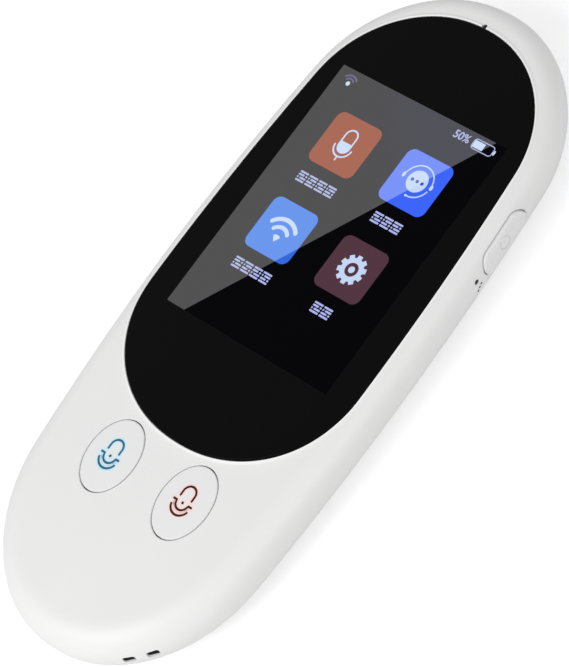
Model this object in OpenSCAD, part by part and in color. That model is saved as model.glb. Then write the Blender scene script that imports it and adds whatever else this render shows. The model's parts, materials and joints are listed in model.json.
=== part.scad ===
// Handheld translator: a slim white body with round ends, a black cover glass over a
// colour display, two oval talk buttons under the glass and a power button in the
// right side wall. Lengths are in millimetres. The device lies on its back: +Z comes
// out of the display, +Y points to the display end, and the origin is the middle of
// the back face.

/* [Body] */
// Width of the body at its middle
body_w = 53.5; // [53:0.5:58]
// Length of the body from end to end
body_l = 126.8; // [126:0.2:134]
// Thickness of the body up to its white front face
body_t = 11.6; // [11.4:0.1:13]
// Radius of the long sides, which bulge a little
side_radius = 465; // [400:5:900]
// Length over which the display end rounds off
top_cap = 23.4; // [22:0.2:26]
// Length over which the lower end rounds off
bottom_cap = 26; // [24:0.2:28]
// Power of the round ends: 2 is an ellipse and more is squarer
end_power = 2.15; // [2.1:0.05:2.4]
// Radius of the front edge beside the display
front_round = 3.35; // [2.8:0.05:3.8]
// Radius of the front edge at the lower end
chin_round = 4.95; // [4:0.05:5.4]
// How far the front face drops at the lower end
chin_drop = 0.5; // [0.1:0.1:0.8]
// Width of the rounding of the back edge
back_round = 8.4; // [6.5:0.1:9]
// Thickness of the outer walls
wall = 1.4; // [1.2:0.1:1.6]
// Height of the seam between the front housing and the rear cover
seam_z = 2.6; // [2.4:0.1:2.9]

/* [Cover glass] */
// White margin between the sides of the body and the glass
side_margin = 2.95; // [2.5:0.05:3.3]
// White margin between the display end of the body and the glass
glass_margin = 5.15; // [4.6:0.05:5.6]
// Length of the white front below the glass
chin_l = 37.65; // [37:0.05:39]
// Length over which the glass rounds off at the display end
glass_top_cap = 19.7; // [18.5:0.1:21]
// Length over which the glass rounds off at its lower end
glass_low_cap = 21.1; // [19:0.1:22.5]
// Thickness of the glass
glass_t = 1.1; // [0.9:0.1:1.3]
// How far the glass stands above the white front face
glass_proud = 0.3; // [0.2:0.05:0.4]
// Radius of the polished edge of the glass
glass_edge = 0.25; // [0.1:0.05:0.4]
// Gap between the glass and the edge of its recess
glass_gap = 0.1; // [0.05:0.01:0.2]
// Thickness of the tape under the edge of the glass
tape_t = 0.15; // [0.1:0.05:0.25]
// Width of the tape under the edge of the glass
tape_w = 1; // [0.8:0.1:1.2]
// Thickness of the recess floor that carries the glass
floor_t = 1; // [0.8:0.1:1.2]

/* [Display] */
// Black margin of the glass at the sides of the lit picture
side_bezel = 5.44; // [5.2:0.02:5.8]
// Black margin of the glass above the lit picture
top_bezel = 16.22; // [15.8:0.02:16.8]
// Black margin of the glass below the lit picture
low_bezel = 18.82; // [18.4:0.02:19.4]
// Dark border of the panel at the picture's sides
side_border = 0.8; // [0.6:0.05:0.9]
// Dark border of the panel above the picture
top_border = 1; // [0.8:0.05:1.1]
// Dark border of the panel below the picture, over the driver chip
driver_border = 4.1; // [3.5:0.1:4.5]
// Thickness of the touch sensor
sensor_t = 0.2; // [0.15:0.05:0.3]
// Thickness of the display panel
panel_t = 1.2; // [1:0.05:1.3]
// Thickness of the backlight
backlight_t = 0.9; // [0.7:0.05:1]
// Thickness of the steel of the display tray
tray_t = 0.2; // [0.15:0.05:0.25]
// Gap between the display and the steel around it
tray_gap = 0.05; // [0.03:0.01:0.1]
// Thickness of the foam under the display tray
foam_t = 0.3; // [0.2:0.05:0.4]
// Thickness of the bracket that carries the display
bracket_t = 1; // [0.8:0.1:1.1]
// Width of the display's ribbon
ribbon_w = 13; // [10:0.5:14]
// Thickness of the ribbons
ribbon_t = 0.15; // [0.1:0.05:0.2]

/* [Talk buttons] */
// Width of a talk button
button_w = 9.9; // [9:0.1:10.4]
// Length of a talk button
button_l = 13.3; // [12:0.1:13.6]
// Distance between the middles of the two talk buttons
button_pitch = 17.1; // [16:0.1:18]
// Distance of the talk buttons' middles from the glass
button_drop = 7.45; // [7.2:0.05:8.4]
// Gap around a button
button_gap = 0.2; // [0.12:0.01:0.25]
// Travel of a talk button
button_travel = 0.4; // [0.25:0.05:0.4]
// Thickness of the flange that keeps a button in its hole
flange_t = 0.6; // [0.5:0.05:0.7]
// Width of the flange beyond the button's edge
flange_w = 0.5; // [0.4:0.05:0.6]
// Gap between a flange and the seat that stops it
flange_gap = 0.05; // [0.03:0.01:0.1]
// Radius of the stem under a talk button
stem_r = 1.5; // [1.2:0.1:2]
// Length of the stem under a talk button
stem_l = 0.6; // [0.5:0.05:0.7]
// Width and length of the body of a talk switch
talk_switch_w = 5.2; // [4.4:0.1:6]
// Height of the body of a talk switch
talk_switch_h = 1.35; // [1.3:0.05:1.5]
// Radius of the plunger of a talk switch
talk_plunger_r = 1; // [0.8:0.1:1.3]
// How far a switch's plunger stands out of its body at rest
plunger_out = 0.5; // [0.45:0.05:0.6]
// Length of a plunger inside its switch, at rest
plunger_in = 0.5; // [0.4:0.05:0.55]
// Gap between a plunger and its bore
plunger_gap = 0.05; // [0.03:0.01:0.08]

/* [Power button] */
// Distance of the power button from the middle of the body, towards the display end
power_y = 29.5; // [29.3:0.1:32]
// Length of the power button
power_l = 11.6; // [10:0.1:11.8]
// Height of the power button
power_h = 4.7; // [4:0.1:4.8]
// How far the power button's middle lies below the widest line of the side
power_low = 0.75; // [0.7:0.05:1.1]
// How far the power button stands out of the side wall
power_proud = 0.2; // [0.1:0.05:0.3]
// Travel of the power button
power_travel = 0.3; // [0.2:0.05:0.35]
// Depth of the flat seat behind the power button from the widest line of the side
seat_depth = 2.5; // [2.4:0.1:2.7]
// Depth of the body of the power switch
power_switch_d = 3; // [2.6:0.1:3.2]
// Length of the body of the power switch
power_switch_l = 4.8; // [4:0.1:5.2]
// Height of the body of the power switch
power_switch_h = 1.6; // [1.4:0.05:1.7]
// Radius of the plunger of the power switch
power_plunger_r = 0.55; // [0.45:0.05:0.6]

/* [Sound] */
// Radius of the side microphone's hole
mic_hole_r = 0.5; // [0.4:0.05:0.6]
// Distance of the side microphone's hole from the middle of the power button
mic_hole_shift = 8; // [7.9:0.05:8.2]
// Radius of a pinhole beside it
pinhole_r = 0.22; // [0.18:0.01:0.25]
// Radius of the top microphone's hole, at the display end of the glass
top_hole_r = 0.5; // [0.4:0.05:0.6]
// Distance of the top microphone's hole from the edge of the glass
top_hole_out = 0.35; // [0.2:0.05:0.5]
// Length of a microphone's case
mic_l = 3; // [2.8:0.1:3.2]
// Width of a microphone's case
mic_w = 2; // [1.8:0.1:2.1]
// Height of a microphone's case
mic_h = 0.95; // [0.8:0.05:1]
// Radius of a microphone's sound port
port_r = 0.3; // [0.2:0.05:0.4]
// Width of the speaker, across the body
speaker_w = 15; // [14:0.5:15.5]
// Length of the speaker, along the body
speaker_l = 8; // [7:0.5:8]
// Thickness of the speaker
speaker_t = 3.4; // [2.8:0.1:3.6]
// Distance of the speaker's middle from the lower end of the body
speaker_end = 13.3; // [13.2:0.1:14]
// Number of holes in a row of the speaker grille
grille_holes = 7; // [5:2:7]
// Radius of a hole of the speaker grille
grille_r = 0.55; // [0.4:0.05:0.65]
// Distance between the holes of the speaker grille
grille_pitch = 1.8; // [1.6:0.1:1.9]

/* [Charging socket] */
// Width of the charging socket's shell
usb_w = 8.94; // [8.8:0.02:9]
// Height of the charging socket's shell
usb_h = 3.16; // [3.1:0.02:3.2]
// Length of the charging socket's shell
usb_l = 7.35; // [7:0.05:7.6]
// Thickness of the sheet of the charging socket's shell
usb_sheet = 0.25; // [0.2:0.05:0.3]
// Gap between the charging socket and its opening
usb_gap = 0.12; // [0.08:0.01:0.2]
// How far the charging socket's mouth lies inside the end of the body
usb_inset = 1.3; // [1.1:0.1:1.5]
// Width of the tongue in the charging socket
tongue_w = 6.69; // [6.5:0.01:6.8]
// Thickness of the tongue in the charging socket
tongue_t = 0.7; // [0.6:0.02:0.8]
// Length of the tongue in the charging socket
tongue_l = 4.6; // [4.2:0.1:5]

/* [Lanyard] */
// Distance of the lanyard bar from the lower end of the body
lanyard_end = 6.7; // [6.4:0.1:7.2]
// Distance between the middles of the two lanyard slots
lanyard_pitch = 4.13; // [3.9:0.01:4.4]
// Length of a lanyard slot along the edge
slot_l = 2.2; // [1.9:0.1:2.3]
// Height of a lanyard slot
slot_h = 1.4; // [1.2:0.1:1.7]
// Thickness of the lanyard bar
bar_t = 1.7; // [1.4:0.1:1.9]
// Depth of the tunnel behind the lanyard bar
tunnel_d = 1.6; // [1.4:0.1:1.7]
// Height of the slots' middle above the widest line of the side
slot_up = 0.5; // [0.3:0.1:0.8]

/* [Main board] */
// Thickness of the main board
board_t = 0.8; // [0.6:0.1:1]
// Room between the main board's edge and the outside of the body
board_margin = 3.2; // [3:0.1:3.4]
// Distance between the main board and the bracket
board_gap = 0.8; // [0.75:0.05:0.9]
// Distance of the main board's lower end from the middle of the body
board_low = 6; // [5.5:0.1:6.5]
// Width of the shield can under the main board
shield_w = 18; // [16:0.5:18.5]
// Length of the shield can
shield_l = 20; // [17:0.5:21]
// Height of the shield can
shield_h = 1.5; // [1.3:0.1:1.7]
// Thickness of the sheet of the shield can
shield_t = 0.2; // [0.15:0.05:0.25]
// Width of the square processor
processor_w = 10; // [8:0.5:10]
// Width of the memory chip
memory_w = 5; // [4:0.5:5]
// Length of the memory chip
memory_l = 9; // [8:0.5:10]
// Thickness of the chips under the shield can
chip_t = 1; // [0.8:0.05:1]
// Width of the wireless module
wireless_w = 12; // [10:0.5:12.5]
// Length of the wireless module
wireless_l = 13; // [11:0.5:13.5]
// Height of the wireless module
wireless_h = 1.4; // [1.2:0.1:1.6]
// Distance of the antenna's middle from the display end of the body
antenna_end = 17.5; // [16.5:0.1:18]
// Width of the antenna on the rear cover
antenna_w = 20; // [16:0.5:21]
// Length of the antenna on the rear cover
antenna_l = 8; // [7:0.5:8.5]

/* [Key board] */
// Distance between the key board and the sides of the body
key_board_side = 7.25; // [6.8:0.05:7.5]
// Length of the key board
key_board_l = 15; // [14.5:0.1:15.4]
// Thickness of the key board
key_board_t = 0.6; // [0.5:0.05:0.65]
// Distance of a screw of the key board from the board's edges
key_screw_in = 2; // [1.8:0.1:2.1]

/* [Battery] */
// Distance between the battery and the sides of the body
battery_side = 11.75; // [11.5:0.05:13]
// Gap between the battery and the rib around the speaker
battery_low_gap = 1; // [0.6:0.1:3]
// Thickness of the battery
battery_t = 4.2; // [3.6:0.1:4.2]
// Distance between the battery and the main board's lower end
battery_gap = 2; // [1.6:0.1:2.4]
// Thickness of the battery's tape
battery_tape_t = 0.2; // [0.1:0.05:0.2]
// Diameter of the insulated wires
wire_d = 0.8; // [0.7:0.05:0.9]

/* [Fasteners] */
// Radius of a screw's shank
screw_r = 0.7; // [0.6:0.05:0.8]
// Radius of a screw's head
head_r = 1.3; // [1.2:0.05:1.4]
// Height of a screw's head
head_h = 0.6; // [0.5:0.05:0.6]
// Gap around a screw's shank in the boards
screw_gap = 0.1; // [0.05:0.01:0.15]
// Length of the shank of a main board screw
board_screw_l = 3.9; // [3.4:0.1:4]
// Length of the shank of a key board screw
key_screw_l = 2.8; // [2.4:0.1:3]
// Radius of a screw boss
boss_r = 1.7; // [1.6:0.05:1.8]
// Height of the rear cover's lip inside the front housing
lip_h = 1.6; // [1.4:0.1:1.6]
// Thickness of the rear cover's lip
lip_t = 1.2; // [1.1:0.1:1.3]
// Gap between the lip and the front housing
lip_gap = 0.1; // [0.06:0.01:0.15]
// How far a snap hook stands out of the lip
hook_out = 0.35; // [0.25:0.05:0.4]

/* [Hidden] */
screw_names = [for (i = [1:4]) str("board_screw_", i)];
key_screw_names = [for (i = [1:4]) str("key_screw_", i)];
$fn = 48;
// Cuts run this far past the faces that they open
past = 1;
// Steps along a round end, along a long side and over the two rounded edges
end_steps = 14;
side_steps = 8;
back_steps = 5;
front_steps = 6;

// ---- Outlines -------------------------------------------------------------
half_l = body_l / 2;
function mix(a, b, s) = a + (b - a) * s;
function clamp(s) = max(0, min(1, s));
function smooth(s) = s * s * (3 - 2 * s);
// Half width of a long side, which bulges about the middle of the body
function side_x(half, y) = half - y * y / (2 * side_radius);
// Share of that half width which a round end leaves at a depth within the end
function end_share(depth, cap) =
  depth >= cap ? 1 : pow(1 - pow(1 - max(depth, 0) / cap, end_power), 1 / end_power);
function body_x(y) = side_x(body_w / 2, y) * end_share(half_l - y, top_cap)
  * end_share(half_l + y, bottom_cap);
// Right-hand half of a round-ended outline, from its top end to its lower end
function end_depth(a, cap) = cap * (1 - pow(sin(a), 2 / end_power));
function end_point(half, y, a) = [side_x(half, y) * pow(cos(a), 2 / end_power), y];
function right_line(half, top, low, cap, low_cap) = concat(
  [for (i = [0:end_steps]) let (a = 90 * (1 - i / end_steps))
    end_point(half, top - end_depth(a, cap), a)],
  [for (i = [1:side_steps - 1]) let (y = mix(top - cap, low + low_cap, i / side_steps))
    [side_x(half, y), y]],
  [for (i = [0:end_steps]) let (a = 90 * i / end_steps)
    end_point(half, low + end_depth(a, low_cap), a)]
);
// Whole outline, clockwise seen from the front
function whole_line(right) =
  concat(right, [for (i = [len(right) - 2:-1:1]) [-right[i][0], right[i][1]]]);
// Unit vectors that point inwards from each point of an outline
function inwards(line) = [for (i = [0:len(line) - 1])
  let (n = len(line), t = line[(i + 1) % n] - line[(i + n - 1) % n])
  [t[1], -t[0]] / norm(t)];
function inset(line, d) =
  let (q = inwards(line)) [for (i = [0:len(line) - 1]) line[i] + d * q[i]];
function oval(w, l) = [for (a = [0:6:354]) [w / 2 * cos(a), l / 2 * sin(a)]];

body_line = whole_line(right_line(body_w / 2, half_l, -half_l, top_cap, bottom_cap));
body_in = inwards(body_line);
glass_w = body_w - 2 * side_margin;
glass_top_y = half_l - glass_margin;
glass_low_y = chin_l - half_l;
picture_w = glass_w - 2 * side_bezel;
picture_high_y = glass_top_y - top_bezel;
picture_low_y = glass_low_y + low_bezel;
picture_l = picture_high_y - picture_low_y;
picture_y = mix(picture_high_y, picture_low_y, 0.5);
glass_line = whole_line(right_line(glass_w / 2, glass_top_y, glass_low_y,
                                   glass_top_cap, glass_low_cap));

// ---- Skin of the body -----------------------------------------------------
// The front edge grows rounder from the picture's middle to the lower end, and the
// front face starts to drop this far below that middle
drop_start = 20;
drop_y = picture_y - drop_start;
function round_at(y) =
  mix(front_round, chin_round, smooth(clamp((picture_y - y) / (picture_y + half_l))));
function drop_at(y) = chin_drop * pow(clamp((drop_y - y) / (drop_y + half_l)), 1.5);
function front_z(y) = body_t - drop_at(y);
function wide_z(y) = front_z(y) - round_at(y);
// Point i of the skin, d inside the outer one and e further inwards. The angle t is
// -90 on the back face, 0 on the widest line and 90 on the front face.
function skin(i, d, e, t) =
  let (y = body_line[i][1], zw = wide_z(y), across = (t > 0 ? round_at(y) : back_round) - d)
  let (up = t > 0 ? round_at(y) - d : zw - d)
  let (p = body_line[i] + (d + e + across * (1 - cos(t))) * body_in[i])
  [p[0], p[1], zw + up * sin(t)];
// Angle at which a plane under the widest line cuts the skin at point i
function plane_angle(i, d, z) =
  let (zw = wide_z(body_line[i][1])) asin(max(-1, (z - zw) / (zw - d)));

// ---- Solids made of rings -------------------------------------------------
// Every ring runs clockwise seen from the last ring's side
module ring_solid(rings, cap) {
  n = len(rings[0]);
  last = (len(rings) - 1) * n;
  sides = [for (k = [0:len(rings) - 2], i = [0:n - 1])
    let (a = k * n + i, b = k * n + (i + 1) % n) each [[a, b, b + n], [a, b + n, a + n]]];
  upper = [for (c = cap) [for (j = c) j + last]];
  lower = [for (c = cap) [for (j = [len(c) - 1:-1:0]) c[j]]];
  polyhedron(points = [for (r = rings) each r], faces = concat(sides, upper, lower));
}
// Triangles that close a symmetrical outline of n points in strips across it
function strips(n) = concat(
  [[0, 1, n - 1], [n / 2 - 1, n / 2, n / 2 + 1]],
  [for (i = [1:n / 2 - 2]) each [[i, i + 1, n - i - 1], [i, n - i - 1, n - i]]]
);
body_cap = strips(len(body_line));
// Body inset by d, from a plane under its widest line up to its front face
module pod_high(d, low) {
  points = [0:len(body_line) - 1];
  ring_solid(concat(
    [for (k = [0:back_steps])
      [for (i = points) skin(i, d, 0, plane_angle(i, d, low) * (1 - k / back_steps))]],
    [for (k = [1:front_steps]) [for (i = points) skin(i, d, 0, 90 * k / front_steps)]]
  ), body_cap);
}
// Body inset by d and e, between two planes under its widest line
module pod_low(d, low, high, e = 0) {
  ring_solid([for (k = [0:back_steps]) [for (i = [0:len(body_line) - 1])
    skin(i, d, e, mix(plane_angle(i, d, low), plane_angle(i, d, high), k / back_steps))]],
    body_cap);
}
// Glass-shaped slab whose outline grows by the given amounts at the given heights
module glass_slab(grow, heights) {
  ring_solid([for (k = [0:len(heights) - 1])
    [for (p = inset(glass_line, -grow[k])) [p[0], p[1], heights[k]]]],
    strips(len(glass_line)));
}
// Smooth curve through a list of points, with steps between each two
function bend(a, b, c, d, s) = 0.5 * (2 * b + (c - a) * s
  + (2 * a - 5 * b + 4 * c - d) * s * s + (3 * b - a - 3 * c + d) * s * s * s);
function route(p, steps) = concat([for (i = [0:len(p) - 2], k = [0:steps - 1])
  bend(p[max(i - 1, 0)], p[i], p[i + 1], p[min(i + 2, len(p) - 1)], k / steps)],
  [p[len(p) - 1]]);
function headings(p) = [for (i = [0:len(p) - 1])
  let (t = p[min(i + 1, len(p) - 1)] - p[max(i - 1, 0)]) t / norm(t)];
// Directions square to a wire, each turned as little as possible from the one before
function sideways(h, i, last) = i == len(h) ? [] :
  let (m = last - (last * h[i]) * h[i], u = m / norm(m)) concat([u], sideways(h, i + 1, u));
// Wire of 8 sides whose ends are square to the given first and last directions
module wire(points, first, last, start_side) {
  p = route(points, 3);
  inner = headings(p);
  h = [for (i = [0:len(p) - 1]) i == 0 ? first : i == len(p) - 1 ? last : inner[i]];
  u = sideways(h, 0, start_side);
  ring_solid([for (i = [0:len(p) - 1]) [for (k = [0:7]) let (a = -45 * k)
    p[i] + wire_d / 2 * (cos(a) * u[i] + sin(a) * cross(h[i], u[i]))]],
    [[for (k = [0:7]) k]]);
}

// ---- Plain shapes ---------------------------------------------------------
module at_both_sides() {
  children();
  mirror([1, 0, 0]) children();
}
// Block between two corners
module block(a, b) {
  translate(a) cube(b - a);
}
// Slab over a rectangle given by its two corners, which r rounds
module slab(a, b, low, high, r = 0) {
  translate([0, 0, low]) linear_extrude(high - low) rounded(a, b, r);
}
module rounded(a, b, r) {
  if (r == 0) translate(a) square(b - a);
  else {
    translate([a[0] + r, a[1]]) square([b[0] - a[0] - 2 * r, b[1] - a[1]]);
    translate([a[0], a[1] + r]) square([b[0] - a[0], b[1] - a[1] - 2 * r]);
    for (x = [a[0] + r, b[0] - r], y = [a[1] + r, b[1] - r]) translate([x, y]) circle(r);
  }
}
module pin(p, r, low, high) {
  translate([p[0], p[1], low]) cylinder(r = r, h = high - low);
}
module pill(w, h) {
  square([w - h, h], center = true);
  for (x = [-1, 1]) translate([x * (w - h) / 2, 0]) circle(d = h);
}
// Extrudes a drawing of (y, z) along X
module along_x(from, to) {
  translate([from, 0, 0]) rotate([90, 0, 90]) linear_extrude(to - from) children();
}
// Extrudes a drawing of (x, z) along Y
module along_y(from, to) {
  translate([0, to, 0]) rotate([90, 0, 0]) linear_extrude(to - from) children();
}
// Screw under a board: its shank goes up from z and its head hangs below
module screw(p, z, l) {
  color("silver") {
    pin(p, screw_r, z, z + l);
    pin(p, head_r, z - head_h, z);
  }
}

// ---- Heights of the stack under the glass ---------------------------------
glass_top = body_t + glass_proud;
glass_z = glass_top - glass_t;
floor_top = glass_z - tape_t;
floor_z = floor_top - floor_t;
sensor_z = glass_z - sensor_t;
panel_z = sensor_z - panel_t;
light_z = panel_z - backlight_t;
tray_z = light_z - tray_t;
foam_z = tray_z - foam_t;
bracket_z = foam_z - bracket_t;
board_top = bracket_z - board_gap;
board_z = board_top - board_t;

// ---- Plan of the display --------------------------------------------------
panel_x = picture_w / 2 + side_border;
panel_high_y = picture_high_y + top_border;
panel_low_y = picture_low_y - driver_border;
tray_x = panel_x + tray_gap + tray_t;
tray_high_y = panel_high_y + tray_gap + tray_t;
tray_low_y = panel_low_y - tray_gap - tray_t;
// Room between the tray and the window in the recess floor
window_gap = 0.3;
// The touch sensor reaches past the picture but stays inside the tray
sensor_rim = 0.4;
bracket_low_y = tray_low_y + 0.8;
bracket_ear = boss_r - 0.3;
// The ribbon leaves the panel's lower border and turns back under the tray
ribbon_low_z = board_top + 0.35;
ribbon_run = 7.28;
connector_y = tray_low_y + ribbon_run;
connector_l = 3.6;
connector_h = 0.7;

// ---- Screws ---------------------------------------------------------------
button_y = button_drop - glass_low_y;
key_board_w = body_w - 2 * key_board_side;
// The side bosses stand this far from the edge of the display window
boss_gap = 0.2;
side_boss_x = tray_x + window_gap + boss_gap + boss_r;
top_boss_x = 12;
top_boss_end = 12.9;
top_boss_y = half_l - top_boss_end;
board_places = [[side_boss_x, 0], [-side_boss_x, 0], [top_boss_x, top_boss_y],
                [-top_boss_x, top_boss_y]];
key_x = key_board_w / 2 - key_screw_in;
key_reach = key_board_l / 2 - key_screw_in;
key_places = [[key_x, -button_y + key_reach], [-key_x, -button_y + key_reach],
              [key_x, -button_y - key_reach], [-key_x, -button_y - key_reach]];
pilot_r = screw_r + 0.02;

// ---- Talk buttons and key board -------------------------------------------
button_x = button_pitch / 2;
seat_z = front_z(-button_y) - wall;
flange_z = seat_z - flange_gap - flange_t;
plunger_top = flange_z - stem_l;
switch_top = plunger_top - plunger_out;
key_top = switch_top - talk_switch_h;
key_z = key_top - key_board_t;
// Room around a flange in its pocket
pocket_gap = 0.2;
// The ribbon between the boards lies this far on each
ribbon_lap = 1.4;
key_ribbon_w = 5;
// A plunger's bore goes this much deeper than its travel
bore_spare = 0.1;

// ---- Power button ---------------------------------------------------------
power_z = wide_z(power_y) - power_low;
seat_x = side_x(body_w / 2, power_y) - seat_depth;
power_flange_x = seat_x - flange_gap - flange_t;
// The flange has no room above, under the recess floor
power_flange_top = min(power_z + power_h / 2 + flange_w, floor_z - 0.15);
power_flange_low = power_z - power_h / 2 - flange_w;
power_reach = power_l / 2 + flange_w;
notch_x = seat_x - flange_t - power_travel - 0.65;
power_switch_x = notch_x - 1.25;
power_plunger_x = power_switch_x + plunger_out;
power_plunger_z = board_top + power_switch_h / 2;
nub_r = power_plunger_r + 0.1;
// Room around the parts of the board that reach up past the bracket
part_room = 0.4;

// ---- Charging socket ------------------------------------------------------
usb_z = board_top;
usb_z_top = usb_z + usb_h / 2;
usb_mouth = half_l - usb_inset;
usb_back = usb_mouth - usb_l;
usb_wing = 1.2;
tongue_base = 1.5;

// ---- Microphones ----------------------------------------------------------
mic_hole_y = power_y - mic_hole_shift;
mic_hole_z = power_z + 0.6;
// The three pinholes lie on a slanted line under the microphone's hole
pinholes = [for (i = [-1:1]) [mic_hole_y + 0.55 * i, power_z - 1.2 + 0.4 * i]];
boot_y = mic_hole_y - 0.05;
boot_w = 2.8;
chamber_w = 2;
boot_low = power_z - 2.4;
boot_high = mic_hole_z + 1.1;
boot_wall = 0.5;
side_mic_z = board_top + mic_h / 2;
top_hole_y = glass_top_y + top_hole_out;
top_mic_y = half_l - 10.2;
duct_z = usb_z_top + 0.15;
duct_mid = mix(duct_z, floor_z, 0.5);
duct_r = 0.4;
duct_w = 3.2;

// ---- Lanyard --------------------------------------------------------------
lanyard_y = -half_l + lanyard_end;
lanyard_x = body_x(lanyard_y);
lanyard_turn = atan2(body_x(lanyard_y + 0.5) - body_x(lanyard_y - 0.5), 1);
lanyard_z = wide_z(lanyard_y) + slot_up;
lanyard_wall = 1;

// ---- Battery, speaker and antenna -----------------------------------------
battery_w = body_w - 2 * battery_side;
battery_high_y = -board_low - battery_gap;
battery_z = wall + battery_tape_t;
battery_top = battery_z + battery_t;
rib_t = 0.8;
rib_gap = 0.3;
rib_h = 2;
speaker_y = -half_l + speaker_end;
battery_low_y = speaker_y + speaker_l / 2 + rib_gap + rib_t + battery_low_gap;
// The ribs beside the battery and its wires stop this far short of its ends
rib_short = 8;
mesh_t = 0.15;
gasket_t = 0.4;
gasket_w = 1.2;
speaker_z = wall + mesh_t + gasket_t;
speaker_frame_h = 1.6;
grille_rows = 3;
plug_x = 9;
plug_w = 6;
plug_l = 3;
plug_h = 1.7;
plug_y = -board_low + 0.4;
// The speaker's wires run beside the battery at this height, this far apart, and end
// this far inside the main board
run_z = 3;
run_pitch = 1.1;
run_end = 2;
antenna_t = 0.15;
antenna_y = half_l - antenna_end;
// The antenna's lead rises at its own spot and meets the board beside the middle
lead_x = 6;
lead_rise = 1;
shield_x = -7;
shield_y = 14;
wireless_x = 9;
wireless_y = 32;

// ---- Housing --------------------------------------------------------------
hook_low = seam_z + 0.6;
hook_high = seam_z + 1.3;
hook_places = [-30, 2, 34];
hook_l = 4;

module hook_band(l) {
  for (y = hook_places)
    block([-body_w, y - l / 2, 0], [body_w, y + l / 2, body_t]);
}
module button_hole(x) {
  grow = 2 * (flange_w + pocket_gap);
  translate([x, -button_y, seat_z - past]) linear_extrude(wall + 3 * past)
    polygon(oval(button_w + 2 * button_gap, button_l + 2 * button_gap));
  translate([x, -button_y, key_top]) linear_extrude(seat_z - key_top)
    polygon(oval(button_w + grow, button_l + grow));
}
module power_opening() {
  along_x(seat_x - past, body_w) translate([power_y, power_z])
    pill(power_l + 2 * button_gap, power_h + 2 * button_gap);
  block([seat_x - 2 * past, power_y - power_reach - pocket_gap, power_flange_low - pocket_gap],
        [seat_x, power_y + power_reach + pocket_gap, power_flange_top + 0.1]);
}
module side_holes() {
  along_x(seat_x - past, body_w) {
    translate([mic_hole_y, mic_hole_z]) circle(mic_hole_r);
    for (p = pinholes) translate(p) circle(pinhole_r);
  }
}
module at_lanyard() {
  translate([lanyard_x, lanyard_y, lanyard_z]) rotate([0, 0, -lanyard_turn]) children();
}
module lanyard_tunnel() {
  deep = bar_t + tunnel_d;
  span = lanyard_pitch + slot_l;
  at_lanyard() {
    for (s = [-1, 1]) translate([-deep, s * lanyard_pitch / 2 - slot_l / 2, -slot_h / 2])
      cube([deep + 2 * past, slot_l, slot_h]);
    translate([-deep, -span / 2, -slot_h / 2]) cube([tunnel_d, span, slot_h]);
  }
}
module lanyard_block() {
  deep = bar_t + tunnel_d + lanyard_wall;
  span = lanyard_pitch + slot_l + 2 * lanyard_wall;
  high = slot_h + 2 * lanyard_wall;
  intersection() {
    at_lanyard() translate([-deep, -span / 2, -high / 2]) cube([deep + 2 * past, span, high]);
    pod_high(wall / 3, seam_z + lip_h);
  }
}
// Thicker wall that gives the power button and the microphone a flat seat
module side_pad() {
  intersection() {
    block([seat_x, mic_hole_y - 2.5, seam_z + lip_h + 0.2],
          [body_w, power_y + power_l / 2 + 2, floor_z + floor_t / 2]);
    pod_high(wall / 3, seam_z + lip_h);
  }
}
module display_window() {
  slab([-tray_x - window_gap, tray_low_y - window_gap],
       [tray_x + window_gap, tray_high_y + window_gap], floor_z - past, floor_top + past, 0.5);
}
module front_housing() {
  color("white") difference() {
    union() {
      difference() {
        pod_high(0, seam_z);
        pod_high(wall, seam_z - past);
      }
      translate([0, 0, floor_z]) linear_extrude(floor_t) polygon(inset(glass_line, -tape_w));
      lanyard_block();
      side_pad();
      for (p = board_places) pin(p, boss_r, foam_z, floor_z + floor_t / 2);
      for (p = key_places) pin(p, boss_r, key_top, seat_z + wall / 2);
    }
    translate([0, 0, floor_top])
      linear_extrude(glass_t + past) polygon(inset(glass_line, -glass_gap));
    display_window();
    for (x = [-button_x, button_x]) button_hole(x);
    power_opening();
    side_holes();
    lanyard_tunnel();
    pin([0, top_hole_y], top_hole_r, floor_z - past, body_t + past);
    along_y(half_l - 4, half_l + past)
      translate([0, usb_z]) pill(usb_w + 2 * usb_gap, usb_h + 2 * usb_gap);
    for (p = board_places)
      pin(p, pilot_r, foam_z - past, board_z + board_screw_l + bore_spare);
    for (p = key_places) pin(p, pilot_r, key_top - past, key_z + key_screw_l + bore_spare);
    intersection() {
      pod_low(wall - hook_out, hook_low - 0.1, hook_high + 0.1);
      hook_band(hook_l + 0.4);
    }
  }
}
module rear_cover() {
  ledge = seam_z - 0.8;
  rim = wall + lip_gap;
  color("white") difference() {
    union() {
      difference() {
        union() {
          pod_low(0, 0, seam_z);
          pod_low(rim, seam_z - 0.5, seam_z + lip_h);
          intersection() {
            pod_low(rim - hook_out, hook_low, hook_high);
            hook_band(hook_l);
          }
        }
        pod_low(wall, wall, ledge);
        pod_low(rim, ledge - 0.1, seam_z + lip_h + past / 2, lip_t);
      }
      cover_ribs();
    }
    for (i = [0:grille_holes - 1], k = [0:grille_rows - 1])
      pin([(i - (grille_holes - 1) / 2) * grille_pitch,
           speaker_y + (k - (grille_rows - 1) / 2) * grille_pitch], grille_r, -past, wall + past);
  }
}
// Low walls that hold the battery and the speaker
module cover_ribs() {
  x = battery_w / 2 + rib_gap;
  sx = speaker_w / 2 + rib_gap;
  sy = speaker_l / 2 + rib_gap;
  at_both_sides() block([x, battery_low_y + rib_short, wall / 2],
                        [x + rib_t, battery_high_y - rib_short, wall + rib_h]);
  block([-x, battery_high_y + rib_gap, wall / 2],
        [x, battery_high_y + rib_gap + rib_t, wall + rib_h]);
  difference() {
    block([-sx - rib_t, speaker_y - sy - rib_t, wall / 2],
          [sx + rib_t, speaker_y + sy + rib_t, wall + speaker_frame_h]);
    block([-sx, speaker_y - sy, 0], [sx, speaker_y + sy, body_t]);
  }
}

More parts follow.
